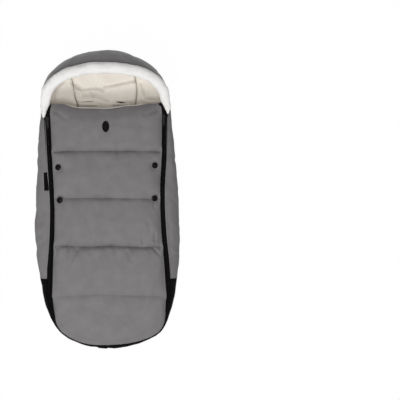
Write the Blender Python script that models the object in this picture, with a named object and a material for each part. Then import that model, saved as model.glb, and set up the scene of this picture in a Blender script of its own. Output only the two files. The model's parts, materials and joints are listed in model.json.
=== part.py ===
"""Stroller footmuff, lying on its back: +Z is up, +Y points to the head, +X to the right seen from above.

The sack is lofted through ribs: upright sections that stand square to the line of the zip and, past it, to
the rim of the hood. Each rib runs from the floor seam, out round the side and up to the rim. The cover is a
quilt stretched between the two zips, and its upper part folds down as a flap.
"""

import math
from collections import namedtuple

import bmesh
import bpy
import numpy as np
from mathutils import Matrix, Vector
from mathutils.bvhtree import BVHTree

# Overall size
LENGTH = 0.8806
WIDTH = 0.4248
ZIP_HEIGHT = 0.080
SIDE_REACH = 0.046
FLOOR_INSET = 0.056
HALF_LENGTH = LENGTH / 2
HALF_WIDTH = WIDTH / 2

# Layers of the sack, from outside to inside
FIT = 0.0003
LAYER_GAP = 0.0004
OUTER_FABRIC = 0.0015
WADDING = 0.007
FLEECE = 0.003
rim_thickness_share = 0.36
thinning_start_share = 0.55
LINING_HALF_WIDTH = 0.0905

# Zips
BAND_WIDTH = 0.013
ROW_SPLIT = 0.0014
ROW_WIDTH = 0.0015
ROW_THICKNESS = 0.0021
ROW_SINK = 0.0001
TAPE_THICKNESS = 0.0009
TAPE_SINK = 0.0007
TAPE_SEAM = 0.0006
ZIP_END = 0.010
STOP_LENGTH = 0.002

# Sliders and pullers
SLIDER_LENGTH = 0.011
SLIDER_WIDTH = 0.009
SLIDER_PLATE = 0.0011
SLIDER_FLANGE = 0.0006
SLIDER_PLAY = 0.0004
POST_LENGTH = 0.003
BRIDGE_LENGTH = 0.007
BRIDGE_WIDTH = 0.0016
BRIDGE_BAR = 0.0009
BRIDGE_GAP = 0.0022
PULLER_LENGTH = 0.028
PULLER_WIDTH = 0.0062
PULLER_THICKNESS = 0.0012
PULLER_ARM = 0.0012
PULLER_WINDOW = 0.007
PULLER_EYE = 0.0024

# Cover and flap
HEM_THICKNESS = 0.005
COVER_FABRIC = 0.0012
COVER_FLEECE = 0.002
CROWN_RISE = 0.014
PUFF_RISE = 0.009
lining_crown_share = 0.9
LINING_SHOW = 0.003
FOLD_CLEARANCE = 0.0035
TOP_EDGE_DIP = 0.010

# Snaps, badge, tag, slots and trim
SNAP_DIAMETER = 0.015
SNAP_CAP = 0.0016
SNAP_POST_DIAMETER = 0.004
SNAP_STUD_DIAMETER = 0.0044
SNAP_STUD_HEIGHT = 0.0018
SNAP_SOCKET_DIAMETER = 0.0052
SNAP_SOCKET_DEPTH = 0.001
SNAP_BACK = 0.0014
SNAP_PLAY = 0.0005
SNAP_DIMPLE = 0.018
BADGE_WIDTH = 0.021
BADGE_LENGTH = 0.033
BADGE_THICKNESS = 0.0018
TAG_LENGTH = 0.054
TAG_THICKNESS = 0.0009
PATCH_LIFT = 0.0006
SLOT_WIDTH = 0.040
SLOT_OPENING = 0.012
SLOT_BORDER = 0.004
SLOT_BINDING = 0.0012
TRIM_WIDTH = 0.034
TRIM_HEIGHT = 0.028
TRIM_SEAT = 0.0009
END_TAB_LENGTH = 0.026
END_TAB_START = 0.008
END_TAB_THICKNESS = 0.0014
CUT_OVERRUN = 0.005

# Places along the length, as shares of the half length
straight_top_share = 0.5678
fold_share = 0.1113
quilt_shares = (0.3157, -0.0068, -0.3225, -0.6496)
snap_shares = (0.2203, 0.0)
snap_side_share = 0.887
badge_share = 0.487
tag_start_share = 0.0545
slot_share = 0.6564
slot_side_share = 0.5525
crotch_slot_share = 0.045
slider_share = 0.548
flap_zip_share = 0.544
flap_top_share = 0.6087
trim_tip_share = 0.552

# The line of the zip where it is straight: its half spacing at the waist and at its top
zip_waist_share = 0.7721
zip_top_share = 0.8098

Station = namedtuple("Station", "x y height slope band reach inset seam_x seam_y")

# Stations from the toe to the head. x and y place the line of the zip and, past it, the hood's rim, as
# shares of the half width and half length. height is a share of ZIP_HEIGHT, slope tilts the zip band in
# degrees, band is its share of BAND_WIDTH, reach a share of SIDE_REACH, inset a share of FLOOR_INSET.
# seam_x and seam_y place the seam of the lining's centre panel.
toe_station_shares = (
    Station(0.0, -0.9757, 0.650, 62, 1, 0.233, 0.625, 0.000, -0.874),
    Station(0.2415, -0.9678, 0.650, 72, 1, 0.187, 0.607, 0.442, -0.872),
    Station(0.4468, -0.9434, 0.6625, 74, 1, 0.148, 0.571, 0.729, -0.861),
    Station(0.5960, -0.9037, 0.6875, 73, 1, 0.157, 0.571, 0.895, -0.836),
    Station(0.6888, -0.8628, 0.725, 70, 1, 0.159, 0.571, 0.972, -0.800),
    Station(0.7570, -0.8156, 0.775, 65, 1, 0.143, 0.571, 1.0, -0.761),
    Station(0.8060, -0.7504, 0.850, 55, 1, 0.170, 0.607, 1.0, -0.715),
    Station(0.8347, -0.6691, 0.925, 35, 1, 0.287, 0.680, 1.0, -0.654),
    Station(0.8277, -0.5462, 0.975, 12, 1, 0.578, 0.820, 1.0, -0.545),
    Station(0.8150, -0.4134, 1.0, 0, 1, 0.793, 0.930, 1.0, -0.413),
    Station(0.7839, -0.2271, 1.0, 0, 1, 1.0, 1.0, 1.0, -0.227),
)
straight_run_shares = ((0.0, 0.989, 1.0), (0.2044, 0.804, 0.946), (0.3861, 0.659, 0.84), (0.5678, 0.424, 0.55))
hood_station_shares = (
    Station(0.7839, 0.6178, 1.0, 0, 1, 0.522, 0.55, 1.0, 0.6178),
    Station(0.8263, 0.6813, 1.125, 0, 0, 0.315, 0.52, 1.0, 0.670),
    Station(0.7863, 0.7427, 1.2625, 0, 0, 0.370, 0.607, 1.0, 0.7154),
    Station(0.6968, 0.7972, 1.3875, 0, 0, 0.511, 0.750, 0.961, 0.7518),
    Station(0.5461, 0.8437, 1.4875, 0, 0, 0.7065, 0.893, 0.818, 0.7756),
    Station(0.2848, 0.8767, 1.5625, 0, 0, 0.989, 1.036, 0.464, 0.7892),
    Station(0.0, 0.8869, 1.5875, 0, 0, 1.0826, 1.071, 0.0, 0.7926),
)

FOOT_END = 8
WAIST = len(toe_station_shares)
STRAIGHT_TOP = WAIST + len(straight_run_shares) - 1
HOOD_START = STRAIGHT_TOP + 1
HEAD = HOOD_START + len(hood_station_shares) - 1

# Sampling of the ribs between stations, and of the sections
foot_steps = (2, 2, 1, 1, 1, 1, 1, 1)
side_steps = (1, 2, 2, 1, 1, 2, 1)
hood_steps = (2, 2, 1, 2, 2, 2)
section_shares = (0.0, 0.17, 0.34, 0.51, 0.68, 0.84, 0.96, 1.0)
ROUND_STEPS = 16

# Quilt grid: columns across, as shares of the half width there, and rows within one pillow
column_shares = (0.0, 0.26, 0.5, 0.7, 0.84, 0.93, 1.0)
pillow_row_shares = (0.0, 0.09, 0.28, 0.5, 0.72, 0.91)
toe_row_shares = (0.0, 0.28, 0.55, 0.80, 0.93, 1.0)
TOE_ROWS_START = -0.681
toe_corner_share = 0.73

Rib = namedtuple("Rib", "line out height slope band reach inset seam")


# Ribs


def station_table():
    """Every station as numbers in metres and radians, with the straight run of the zip filled in."""
    straight = []
    for y, reach, inset in straight_run_shares:
        x = zip_waist_share + (zip_top_share - zip_waist_share) * y / straight_top_share
        straight.append(Station(x, y, 1.0, 0, 1, reach, inset, 1.0, y))
    rows = []
    for s in (*toe_station_shares, *straight, *hood_station_shares):
        rows.append(
            (
                s.x * HALF_WIDTH,
                s.y * HALF_LENGTH,
                s.height * ZIP_HEIGHT,
                math.radians(s.slope),
                s.band,
                s.reach * SIDE_REACH,
                s.inset * FLOOR_INSET,
                s.seam_x * LINING_HALF_WIDTH,
                s.seam_y * HALF_LENGTH,
            )
        )
    return np.array(rows)


MIRROR_SIGNS = np.array((-1, 1, 1, 1, 1, 1, 1, -1, 1))
LINE_COLUMNS = slice(0, 4)


def station_tangents(rows):
    """Catmull-Rom tangents, with the line's own direction at both ends of its straight run."""
    before = np.vstack((rows[1] * MIRROR_SIGNS, rows[:-1]))
    after = np.vstack((rows[1:], rows[-2] * MIRROR_SIGNS))
    slopes = (after - before) / 2
    slopes[WAIST, LINE_COLUMNS] = (rows[WAIST + 1] - rows[WAIST])[LINE_COLUMNS]
    slopes[STRAIGHT_TOP, LINE_COLUMNS] = (rows[STRAIGHT_TOP] - rows[STRAIGHT_TOP - 1])[LINE_COLUMNS]
    return slopes


STATIONS = station_table()
TANGENTS = station_tangents(STATIONS)


def rib_at(u, side=1):
    """The rib at station number u, on the right (side 1) or the left (side -1)."""
    i = min(int(u), HEAD - 1)
    t = u - i
    a, b = STATIONS[i], STATIONS[i + 1]
    da, db = TANGENTS[i], TANGENTS[i + 1]
    v = (2 * t**3 - 3 * t**2 + 1) * a + (t**3 - 2 * t**2 + t) * da
    v = v + (3 * t**2 - 2 * t**3) * b + (t**3 - t**2) * db
    d = (6 * t**2 - 6 * t) * (a - b) + (3 * t**2 - 4 * t + 1) * da + (3 * t**2 - 2 * t) * db
    out = Vector((side * d[1], -d[0])).normalized()
    seam = Vector((side * v[7], v[8]))
    return Rib(Vector((side * v[0], v[1])), out, v[2], v[3], v[4], v[5], v[6], seam)


def at(rib, across, z):
    """The point of a rib's plane at this distance outwards from the line, and this height."""
    return Vector((rib.line.x + rib.out.x * across, rib.line.y + rib.out.y * across, z))


def band_point(rib, along, sink):
    """A point of the zip band: along it from the cover's edge outwards, and sunk below its face."""
    half = rib.band * BAND_WIDTH / 2
    cosine, sine = math.cos(rib.slope), math.sin(rib.slope)
    across = -half * cosine + along * cosine - sink * sine
    return at(rib, across, rib.height - along * sine - sink * cosine)


def wall_point(rib, share, depth):
    """A point of the side wall, from the floor seam (share 0) to the rim (share 1), at this depth."""
    half = rib.band * BAND_WIDTH / 2
    rim_across = half * math.cos(rib.slope)
    rim_z = rib.height - 2 * half * math.sin(rib.slope)
    rim_angle = math.acos(1 - (rib.reach - rim_across) / rib.inset)
    middle = rim_z / (1 + math.sin(rim_angle))
    angle = share * (rim_angle + math.pi / 2) - math.pi / 2
    thinning = max(0.0, (share - thinning_start_share) / (1 - thinning_start_share))
    depth = depth * (1 - (1 - rim_thickness_share) * thinning**2)
    across = rib.reach - rib.inset + (rib.inset - depth) * math.cos(angle)
    return at(rib, across, middle + (middle - depth) * math.sin(angle))


def station_numbers(start, steps):
    """Station numbers from one station on, with this many steps to each next one."""
    numbers = [float(start)]
    for i, count in enumerate(steps):
        numbers += [start + i + (k + 1) / count for k in range(count)]
    return numbers


def right_and_left(numbers):
    """Ribs from the left end, round the middle at the end of the list, to the right end."""
    left = [rib_at(u, -1) for u in reversed(numbers)]
    return left[:-1] + [rib_at(u) for u in numbers]


foot_numbers = station_numbers(0, foot_steps)
side_numbers = station_numbers(FOOT_END, side_steps)
hood_numbers = station_numbers(HOOD_START, hood_steps)
FOOT_RIBS = right_and_left(foot_numbers)
HOOD_RIBS = right_and_left(hood_numbers[::-1])
SIDE_RIBS = {side: [rib_at(u, side) for u in side_numbers] for side in (-1, 1)}
ALL_RIBS = FOOT_RIBS + SIDE_RIBS[1][1:] + HOOD_RIBS[::-1][1:] + SIDE_RIBS[-1][::-1][1:-1]


def number_where(reached, low, high):
    """The station number between low and high where reached turns from false to true."""
    for _ in range(40):
        middle = (low + high) / 2
        if reached(rib_at(middle)):
            high = middle
        else:
            low = middle
    return high


def edge_of(rib):
    return band_point(rib, 0.0, 0.0)


def number_at_y(y):
    return number_where(lambda rib: edge_of(rib).y >= y, 0.0, float(HOOD_START))


def number_at_x(x):
    return number_where(lambda rib: edge_of(rib).x >= x, 0.0, float(FOOT_END - 1))


# Materials and meshes


def new_material(name, colour, roughness, metallic=0.0):
    made = bpy.data.materials.new(name)
    made.use_nodes = True
    shader = made.node_tree.nodes["Principled BSDF"]
    shader.inputs["Base Color"].default_value = (*colour, 1.0)
    shader.inputs["Roughness"].default_value = roughness
    shader.inputs["Metallic"].default_value = metallic
    return made


def make_materials():
    return {
        "outer": new_material("grey_outer_fabric", (0.195, 0.187, 0.191), 0.85),
        "guard": new_material("black_foot_fabric", (0.006, 0.005, 0.006), 0.7),
        "wadding": new_material("white_wadding", (0.82, 0.82, 0.80), 0.95),
        "fleece": new_material("cream_fleece", (0.73, 0.66, 0.57), 0.95),
        "plush": new_material("white_plush", (0.84, 0.82, 0.80), 0.95),
        "tape": new_material("black_zip_tape", (0.005, 0.005, 0.005), 0.8),
        "coil": new_material("black_zip_teeth", (0.012, 0.012, 0.013), 0.4),
        "metal": new_material("black_metal", (0.02, 0.02, 0.021), 0.35, 1.0),
        "snap": new_material("black_snap", (0.01, 0.01, 0.011), 0.35),
        "badge": new_material("black_badge", (0.006, 0.006, 0.006), 0.45),
    }


def empty_body(name, material):
    """A new object with an empty mesh, linked to the scene."""
    made = bpy.data.objects.new(name, bpy.data.meshes.new(name))
    bpy.context.scene.collection.objects.link(made)
    made.data.materials.append(material)
    return made


def finish_mesh(body, mesh, smooth=None):
    """Writes the bmesh to the object with its faces pointing out, rounded where an angle is given."""
    bmesh.ops.recalc_face_normals(mesh, faces=mesh.faces)
    mesh.to_mesh(body.data)
    mesh.free()
    if smooth is not None:
        body.data.shade_smooth()
        body.data.set_sharp_from_angle(angle=math.radians(smooth))
    return body


def slab(name, material, face, back, over_columns=False):
    """A closed solid between two grids of points, row by row, that match point for point. Its cells are
    split alike in every layer, mirrored over the rows or columns, so that layers keep their gap."""
    body = empty_body(name, material)
    mesh = bmesh.new()
    front_verts = [[mesh.verts.new(p) for p in row] for row in face]
    back_verts = [[mesh.verts.new(p) for p in row] for row in back]
    rows, columns = len(face), len(face[0])
    for verts in (front_verts, back_verts):
        for i in range(rows - 1):
            for j in range(columns - 1):
                a, b, c, d = verts[i][j], verts[i + 1][j], verts[i + 1][j + 1], verts[i][j + 1]
                falls = 2 * j >= columns - 1 if over_columns else 2 * i < rows - 1
                for corners in ((a, b, c), (a, c, d)) if falls else ((a, b, d), (b, c, d)):
                    mesh.faces.new(corners)
    border = [(i, 0) for i in range(rows)] + [(rows - 1, j) for j in range(1, columns)]
    border += [(i, columns - 1) for i in range(rows - 2, -1, -1)] + [(0, j) for j in range(columns - 2, 0, -1)]
    for (i, j), (k, n) in zip(border, border[1:] + border[:1]):
        mesh.faces.new((front_verts[i][j], front_verts[k][n], back_verts[k][n], back_verts[i][j]))
    return finish_mesh(body, mesh, smooth=40)


def prism(name, material, outline, start, depth):
    """A solid made by pulling a closed outline of points along a vector, from a start point."""
    body = empty_body(name, material)
    mesh = bmesh.new()
    face = mesh.faces.new([mesh.verts.new(start + p) for p in outline])
    pulled = bmesh.ops.extrude_face_region(mesh, geom=[face])
    moved = [v for v in pulled["geom"] if isinstance(v, bmesh.types.BMVert)]
    bmesh.ops.translate(mesh, verts=moved, vec=depth)
    return finish_mesh(body, mesh)


def turned(name, material, profile, frame):
    """A solid turned about the frame's Z axis from a profile of (radius, height) points."""
    body = empty_body(name, material)
    mesh = bmesh.new()
    closed = profile[0][0] > 0
    points = [mesh.verts.new((r, 0.0, z)) for r, z in profile]
    pairs = list(zip(points, points[1:] + points[:1])) if closed else list(zip(points, points[1:]))
    edges = [mesh.edges.new(pair) for pair in pairs]
    bmesh.ops.spin(
        mesh,
        geom=[*points, *edges],
        cent=(0, 0, 0),
        axis=(0, 0, 1),
        angle=2 * math.pi,
        steps=ROUND_STEPS,
    )
    bmesh.ops.remove_doubles(mesh, verts=mesh.verts, dist=FIT / 10)
    bmesh.ops.transform(mesh, matrix=frame, verts=mesh.verts)
    return finish_mesh(body, mesh, smooth=40)


def box_outline(half_x, half_y):
    return [Vector((x * half_x, y * half_y, 0)) for x, y in ((-1, -1), (1, -1), (1, 1), (-1, 1))]


def as_cutter(body):
    body.hide_render = True
    body.display_type = "WIRE"
    return body


def combine(body, other, operation):
    """Joins the other shape to the body, or cuts it out, and keeps the other as a hidden guide."""
    made = body.modifiers.new(other.name, "BOOLEAN")
    made.operation = operation
    made.object = as_cutter(other)


# The sack


def wall_layer(name, material, ribs, outer_depth, thickness, inner=False, from_seam=False):
    """One layer of the wall over these ribs. Inner layers stop short of the rim, clear of the zip, and
    the lining also runs over the floor to its seam."""
    shares = section_shares[:-1] if inner else section_shares

    def surface(depth):
        grid = []
        for rib in ribs:
            row = [wall_point(rib, share, depth) for share in shares]
            if from_seam:
                inward = (rib.seam - row[0].to_2d()).normalized() * FIT
                start = rib.seam - inward
                row.insert(0, Vector((start.x, start.y, row[0].z)))
            grid.append(row)
        return grid

    return slab(name, material, surface(outer_depth), surface(outer_depth + thickness))


def trimmed(ribs, first, last):
    """The same ribs, with the first or last one drawn back along the line by the fit."""
    made = list(ribs)
    if first:
        made[0] = drawn_back(ribs[0], ribs[1])
    if last:
        made[-1] = drawn_back(ribs[-1], ribs[-2])
    return made


def drawn_back(rib, toward):
    step = (toward.line - rib.line).normalized() * FIT
    return rib._replace(line=rib.line + step, seam=rib.seam + step)


def make_walls(paint):
    depths = {
        "outer": (0.0, OUTER_FABRIC),
        "padding": (OUTER_FABRIC + LAYER_GAP, WADDING),
        "lining": (OUTER_FABRIC + WADDING + 2 * LAYER_GAP, FLEECE),
    }
    spans = (
        ("left", trimmed(SIDE_RIBS[-1], True, True)),
        ("right", trimmed(SIDE_RIBS[1], True, True)),
    )
    for word, ribs in spans:
        wall_layer(f"side_wall_{word}", paint["outer"], ribs, *depths["outer"])
        wall_layer(f"side_padding_{word}", paint["wadding"], ribs, *depths["padding"], inner=True)
        wall_layer(f"side_lining_{word}", paint["fleece"], ribs, *depths["lining"], inner=True, from_seam=True)
    for name, outer, ribs in (("foot", "guard", FOOT_RIBS), ("hood", "outer", HOOD_RIBS)):
        shell = "foot_guard" if name == "foot" else "hood_shell"
        wall_layer(shell, paint[outer], ribs, *depths["outer"])
        wall_layer(f"{name}_padding", paint["wadding"], ribs, *depths["padding"], inner=True)
        wall_layer(f"{name}_lining", paint["fleece"], ribs, *depths["lining"], inner=True, from_seam=True)


def floor_outline():
    """The floor seam, drawn in by the fit so that the back lies between the walls."""
    points = [wall_point(rib, 0.0, 0.0) for rib in ALL_RIBS]
    return [Vector((p.x - r.out.x * FIT, p.y - r.out.y * FIT, 0)) for p, r in zip(points, ALL_RIBS)]


def stretch_of(outline, axis, low, high):
    """The part of an outline between two places along an axis."""
    for limit, sign in ((low, 1), (high, -1)):
        kept = []
        for a, b in zip(outline, outline[1:] + outline[:1]):
            a_over, b_over = sign * (getattr(a, axis) - limit), sign * (getattr(b, axis) - limit)
            if a_over >= 0:
                kept.append(a)
            if (a_over >= 0) != (b_over >= 0):
                kept.append(a.lerp(b, a_over / (a_over - b_over)))
        outline = kept
    return outline


def slot_places():
    half_spacing = slot_side_share * LINING_HALF_WIDTH
    shoulder_y = slot_share * HALF_LENGTH
    return {
        "left": Vector((-half_spacing, shoulder_y, 0)),
        "right": Vector((half_spacing, shoulder_y, 0)),
        "crotch": Vector((0, crotch_slot_share * HALF_LENGTH, 0)),
    }


def make_back(paint):
    """The back: its outer fabric in pieces, whose seams run through the slots, over one wadding and lining."""
    seam = [Vector((rib.seam.x, rib.seam.y, 0)) for rib in ALL_RIBS]
    padding_z = OUTER_FABRIC + LAYER_GAP
    lining_z = padding_z + WADDING + LAYER_GAP
    crotch_seam, shoulder_seam = [slot_places()[word].y - SLOT_OPENING / 2 for word in ("crotch", "left")]
    pieces = (
        ("back_panel_foot", -LENGTH, crotch_seam, -LENGTH, LENGTH),
        ("back_panel", crotch_seam + FIT, shoulder_seam, -LENGTH, LENGTH),
        ("back_panel_head_left", shoulder_seam + FIT, LENGTH, -LENGTH, -FIT / 2),
        ("back_panel_head_right", shoulder_seam + FIT, LENGTH, FIT / 2, LENGTH),
    )
    outer = {}
    for name, low, high, left, right in pieces:
        outline = stretch_of(stretch_of(floor_outline(), "y", low, high), "x", left, right)
        outer[name] = prism(name, paint["outer"], outline, Vector(), Vector((0, 0, OUTER_FABRIC)))
    inner = (
        prism("back_padding", paint["wadding"], floor_outline(), Vector((0, 0, padding_z)), Vector((0, 0, WADDING))),
        prism("back_lining", paint["fleece"], seam, Vector((0, 0, lining_z)), Vector((0, 0, FLEECE))),
    )
    top = lining_z + FLEECE
    for word, place in slot_places().items():
        outline = box_outline(SLOT_WIDTH / 2, SLOT_OPENING / 2)
        tall = Vector((0, 0, top + 2 * CUT_OVERRUN))
        cutter = prism(f"slot_cutter_{word}", paint["tape"], outline, place - Vector((0, 0, CUT_OVERRUN)), tall)
        for layer in (outer["back_panel" if word == "crotch" else f"back_panel_head_{word}"], *inner):
            combine(layer, cutter, "DIFFERENCE")
        outline = box_outline(SLOT_WIDTH / 2 + SLOT_BORDER, SLOT_OPENING / 2 + SLOT_BORDER)
        seat = place + Vector((0, 0, top + FIT))
        binding = prism(f"slot_binding_{word}", paint["fleece"], outline, seat, Vector((0, 0, SLOT_BINDING)))
        combine(binding, cutter, "DIFFERENCE")


trim_section_shares = (
    (-0.35, 0.0),
    (-0.82, 0.16),
    (-1.0, 0.46),
    (-0.86, 0.76),
    (-0.45, 0.95),
    (0.0, 1.0),
    (0.45, 0.95),
    (0.86, 0.76),
    (1.0, 0.46),
    (0.82, 0.16),
    (0.35, 0.0),
    (0.0, 0.0),
)
trim_growth_shares = (0.05, 0.10, 0.52, 0.86, 1.0)
trim_shift_shares = (0.10, 0.14, 0.42, 0.0, 0.0)


def trim_value(shares, u):
    """A share that grows from the trim's tip over its first stations and then stays."""
    numbers = (trim_tip_number(), STRAIGHT_TOP, HOOD_START, HOOD_START + 1, HOOD_START + 2)
    return float(np.interp(u, numbers, shares))


def trim_tip_number():
    return number_at_y(trim_tip_share * HALF_LENGTH)


def trim_row(rib, u):
    size = trim_value(trim_growth_shares, u)
    rim = rib.band * BAND_WIDTH / 2
    middle = rim + trim_value(trim_shift_shares, u) * TRIM_WIDTH / 2
    row = []
    for x, z in trim_section_shares:
        row.append(at(rib, middle + x * size * TRIM_WIDTH / 2, rib.height + TRIM_SEAT + z * size * TRIM_HEIGHT))
    return row


def make_trim(paint):
    """The plush roll: one closed section swept round the rim, narrowing to a tip beside each zip."""
    numbers = [trim_tip_number(), float(STRAIGHT_TOP), STRAIGHT_TOP + 0.5, *hood_numbers]
    rows = [trim_row(rib_at(u, -1), u) for u in numbers]
    rows += [trim_row(rib_at(u), u) for u in numbers[-2::-1]]
    body = empty_body("plush_trim", paint["plush"])
    mesh = bmesh.new()
    loops = [[mesh.verts.new(p) for p in row] for row in rows]
    count = len(trim_section_shares)
    for first, second in zip(loops, loops[1:]):
        for k in range(count):
            n = (k + 1) % count
            mesh.faces.new((first[k], first[n], second[n], second[k]))
    mesh.faces.new(loops[0])
    mesh.faces.new(loops[-1])
    finish_mesh(body, mesh, smooth=60)


def wall_patch(name, material, side, numbers, shares, lift, thickness):
    """A thin piece that lies on the outside of the wall, over these station numbers and shares."""
    ribs = [rib_at(u, side) for u in numbers]
    face = [[wall_point(rib, share, -lift - thickness) for share in shares] for rib in ribs]
    back = [[wall_point(rib, share, -lift) for share in shares] for rib in ribs]
    return slab(name, material, face, back)


tag_wall_shares = (0.915, 0.94, 0.965, 0.985)
tab_wall_shares = (0.62, 0.74, 0.87, 0.975)


def make_patches(paint):
    start_y = tag_start_share * HALF_LENGTH
    numbers = [number_at_y(start_y + TAG_LENGTH * k / 3) for k in range(4)]
    wall_patch("side_tag", paint["tape"], -1, numbers, tag_wall_shares, PATCH_LIFT, TAG_THICKNESS)
    for word, side in (("left", -1), ("right", 1)):
        numbers = [number_at_x(END_TAB_START + END_TAB_LENGTH * k / 3) for k in range(4)]
        wall_patch(f"zip_end_tab_{word}", paint["guard"], side, numbers, tab_wall_shares, PATCH_LIFT, END_TAB_THICKNESS)


# Zips


def band_strip(name, material, ribs, start, end, sink, thickness):
    """A strip of the zip band over these ribs, between two distances along the band."""
    face = [[band_point(rib, s, sink) for s in (start, end)] for rib in ribs]
    back = [[band_point(rib, s, sink + thickness) for s in (start, end)] for rib in ribs]
    return slab(name, material, face, back)


def row_span(outer):
    """Where a row of teeth lies along the band: the cover's row, or the sack's outer one."""
    middle = BAND_WIDTH / 2
    if outer:
        return middle + ROW_SPLIT / 2, middle + ROW_SPLIT / 2 + ROW_WIDTH
    return middle - ROW_SPLIT / 2 - ROW_WIDTH, middle - ROW_SPLIT / 2


def tape_span(outer):
    near, far = row_span(outer)
    return (far + FIT, BAND_WIDTH - TAPE_SEAM) if outer else (FIT, near - FIT)


def make_zip_half(prefix, word, paint, ribs, outer, row_ribs=None):
    """A tape and a row of teeth beside it."""
    tape = band_strip(f"{prefix}_tape_{word}", paint["tape"], ribs, *tape_span(outer), TAPE_SINK, TAPE_THICKNESS)
    span = row_span(outer)
    coil = band_strip(f"{prefix}_coil_{word}", paint["coil"], row_ribs or ribs, *span, ROW_SINK, ROW_THICKNESS)
    return [tape, coil]


def line_number(distance_share):
    """The station number on the straight run at this share of the half length."""
    target = distance_share * HALF_LENGTH
    return number_where(lambda rib: rib.line.y >= target, float(WAIST), float(STRAIGHT_TOP))


def zip_numbers():
    start = number_at_x(ZIP_END)
    inner = [u for u in foot_numbers + side_numbers[1:] if start < u < STRAIGHT_TOP]
    return [start, *inner]


def make_sack_zips(paint):
    teeth_end = line_number((slider_rest_y() + SLIDER_LENGTH / 2 + FIT) / HALF_LENGTH)
    for word, side in (("left", -1), ("right", 1)):
        numbers = zip_numbers()
        tape_ribs = [rib_at(u, side) for u in (*numbers, float(STRAIGHT_TOP), float(HOOD_START))]
        row_ribs = [rib_at(u, side) for u in (*numbers, teeth_end)]
        make_zip_half("zip", word, paint, tape_ribs, True, row_ribs)
        last = rib_at(teeth_end, side)
        along = Vector((-last.out.y * side, last.out.x * side))
        stop_ribs = [last._replace(line=last.line + along * (FIT + STOP_LENGTH * k)) for k in (0, 1)]
        near, far = row_span(True)
        band_strip(f"zip_stop_{word}", paint["metal"], stop_ribs, near, far, -FIT, ROW_THICKNESS + 2 * FIT)


def make_toe_web(paint):
    """The short web between the lower ends of the zips, which the cover folds out on."""
    numbers = [number_at_x(x) for x in (END_TAB_START - 2 * FIT, END_TAB_START / 2)]
    ribs = [rib_at(u, -1) for u in numbers] + [rib_at(0.0)] + [rib_at(u) for u in reversed(numbers)]
    band_strip("toe_web", paint["guard"], ribs, TAPE_SEAM, BAND_WIDTH - TAPE_SEAM, TAPE_SINK, TAPE_THICKNESS)


# Sliders


def slider_rest_y():
    return slider_share * HALF_LENGTH


def slider_frame(side):
    """The slider's place at rest: X across the zip, Y along it to the head."""
    rib = rib_at(line_number(slider_share), side)
    turn = -math.atan2(STATIONS[STRAIGHT_TOP][0] - STATIONS[WAIST][0], STATIONS[STRAIGHT_TOP][1])
    place = Vector((rib.line.x, rib.line.y, rib.height))
    return Matrix.Translation(place) @ Matrix.Rotation(side * turn, 4, "Z")


def slider_heights():
    """Inner and outer faces of the slider's plates, as heights over the face of the band."""
    top_inner = SLIDER_PLAY - ROW_SINK
    bottom_inner = -ROW_SINK - ROW_THICKNESS - SLIDER_PLAY
    return top_inner, top_inner + SLIDER_PLATE, bottom_inner, bottom_inner - SLIDER_PLATE


def channel_outline(inner, outer, flange):
    """A plate with a flange down each side, as points across the zip."""
    half = SLIDER_WIDTH / 2
    lip = half - SLIDER_FLANGE
    points = ((half, flange), (half, outer), (-half, outer), (-half, flange))
    points += ((-lip, flange), (-lip, inner), (lip, inner), (lip, flange))
    return [Vector((x, 0, z)) for x, z in points]


def pivot_height():
    return slider_heights()[1] + BRIDGE_GAP / 2


def make_slider(word, paint):
    top_inner, top_outer, bottom_inner, bottom_outer = slider_heights()
    along = Vector((0, SLIDER_LENGTH, 0))
    start = Vector((0, -SLIDER_LENGTH / 2, 0))
    tape_top, tape_bottom = -TAPE_SINK, -TAPE_SINK - TAPE_THICKNESS
    outline = channel_outline(top_inner, top_outer, tape_top + FIT)
    body = prism(f"slider_{word}", paint["metal"], outline, start, along)
    outline = channel_outline(bottom_inner, bottom_outer, tape_bottom - FIT)
    lower = prism(f"slider_lower_{word}", paint["metal"], outline, start, along)
    half_post = ROW_SPLIT / 2 - FIT
    low, high = bottom_inner - SLIDER_PLATE / 2, top_inner + SLIDER_PLATE / 2
    nose = Vector((0, SLIDER_LENGTH / 2 - FIT, low))
    outline = [Vector((x * half_post, 0, z)) for x, z in ((-1, 0), (1, 0), (1, high - low), (-1, high - low))]
    post = prism(f"slider_post_{word}", paint["metal"], outline, nose, Vector((0, -POST_LENGTH, 0)))
    floor = top_outer - SLIDER_PLATE / 2
    crown = top_outer + BRIDGE_GAP
    half = BRIDGE_LENGTH / 2
    leg = half - BRIDGE_BAR
    points = ((-half, floor), (-half, crown + BRIDGE_BAR / 2), (-leg, crown + BRIDGE_BAR))
    points += ((leg, crown + BRIDGE_BAR), (half, crown + BRIDGE_BAR / 2), (half, floor))
    points += ((leg, floor), (leg, crown), (-leg, crown), (-leg, floor))
    outline = [Vector((0, y, z)) for y, z in points]
    side = Vector((-BRIDGE_WIDTH / 2, 0, 0))
    bridge = prism(f"slider_bridge_{word}", paint["metal"], outline, side, Vector((BRIDGE_WIDTH, 0, 0)))
    return body, (lower, post, bridge)


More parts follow.
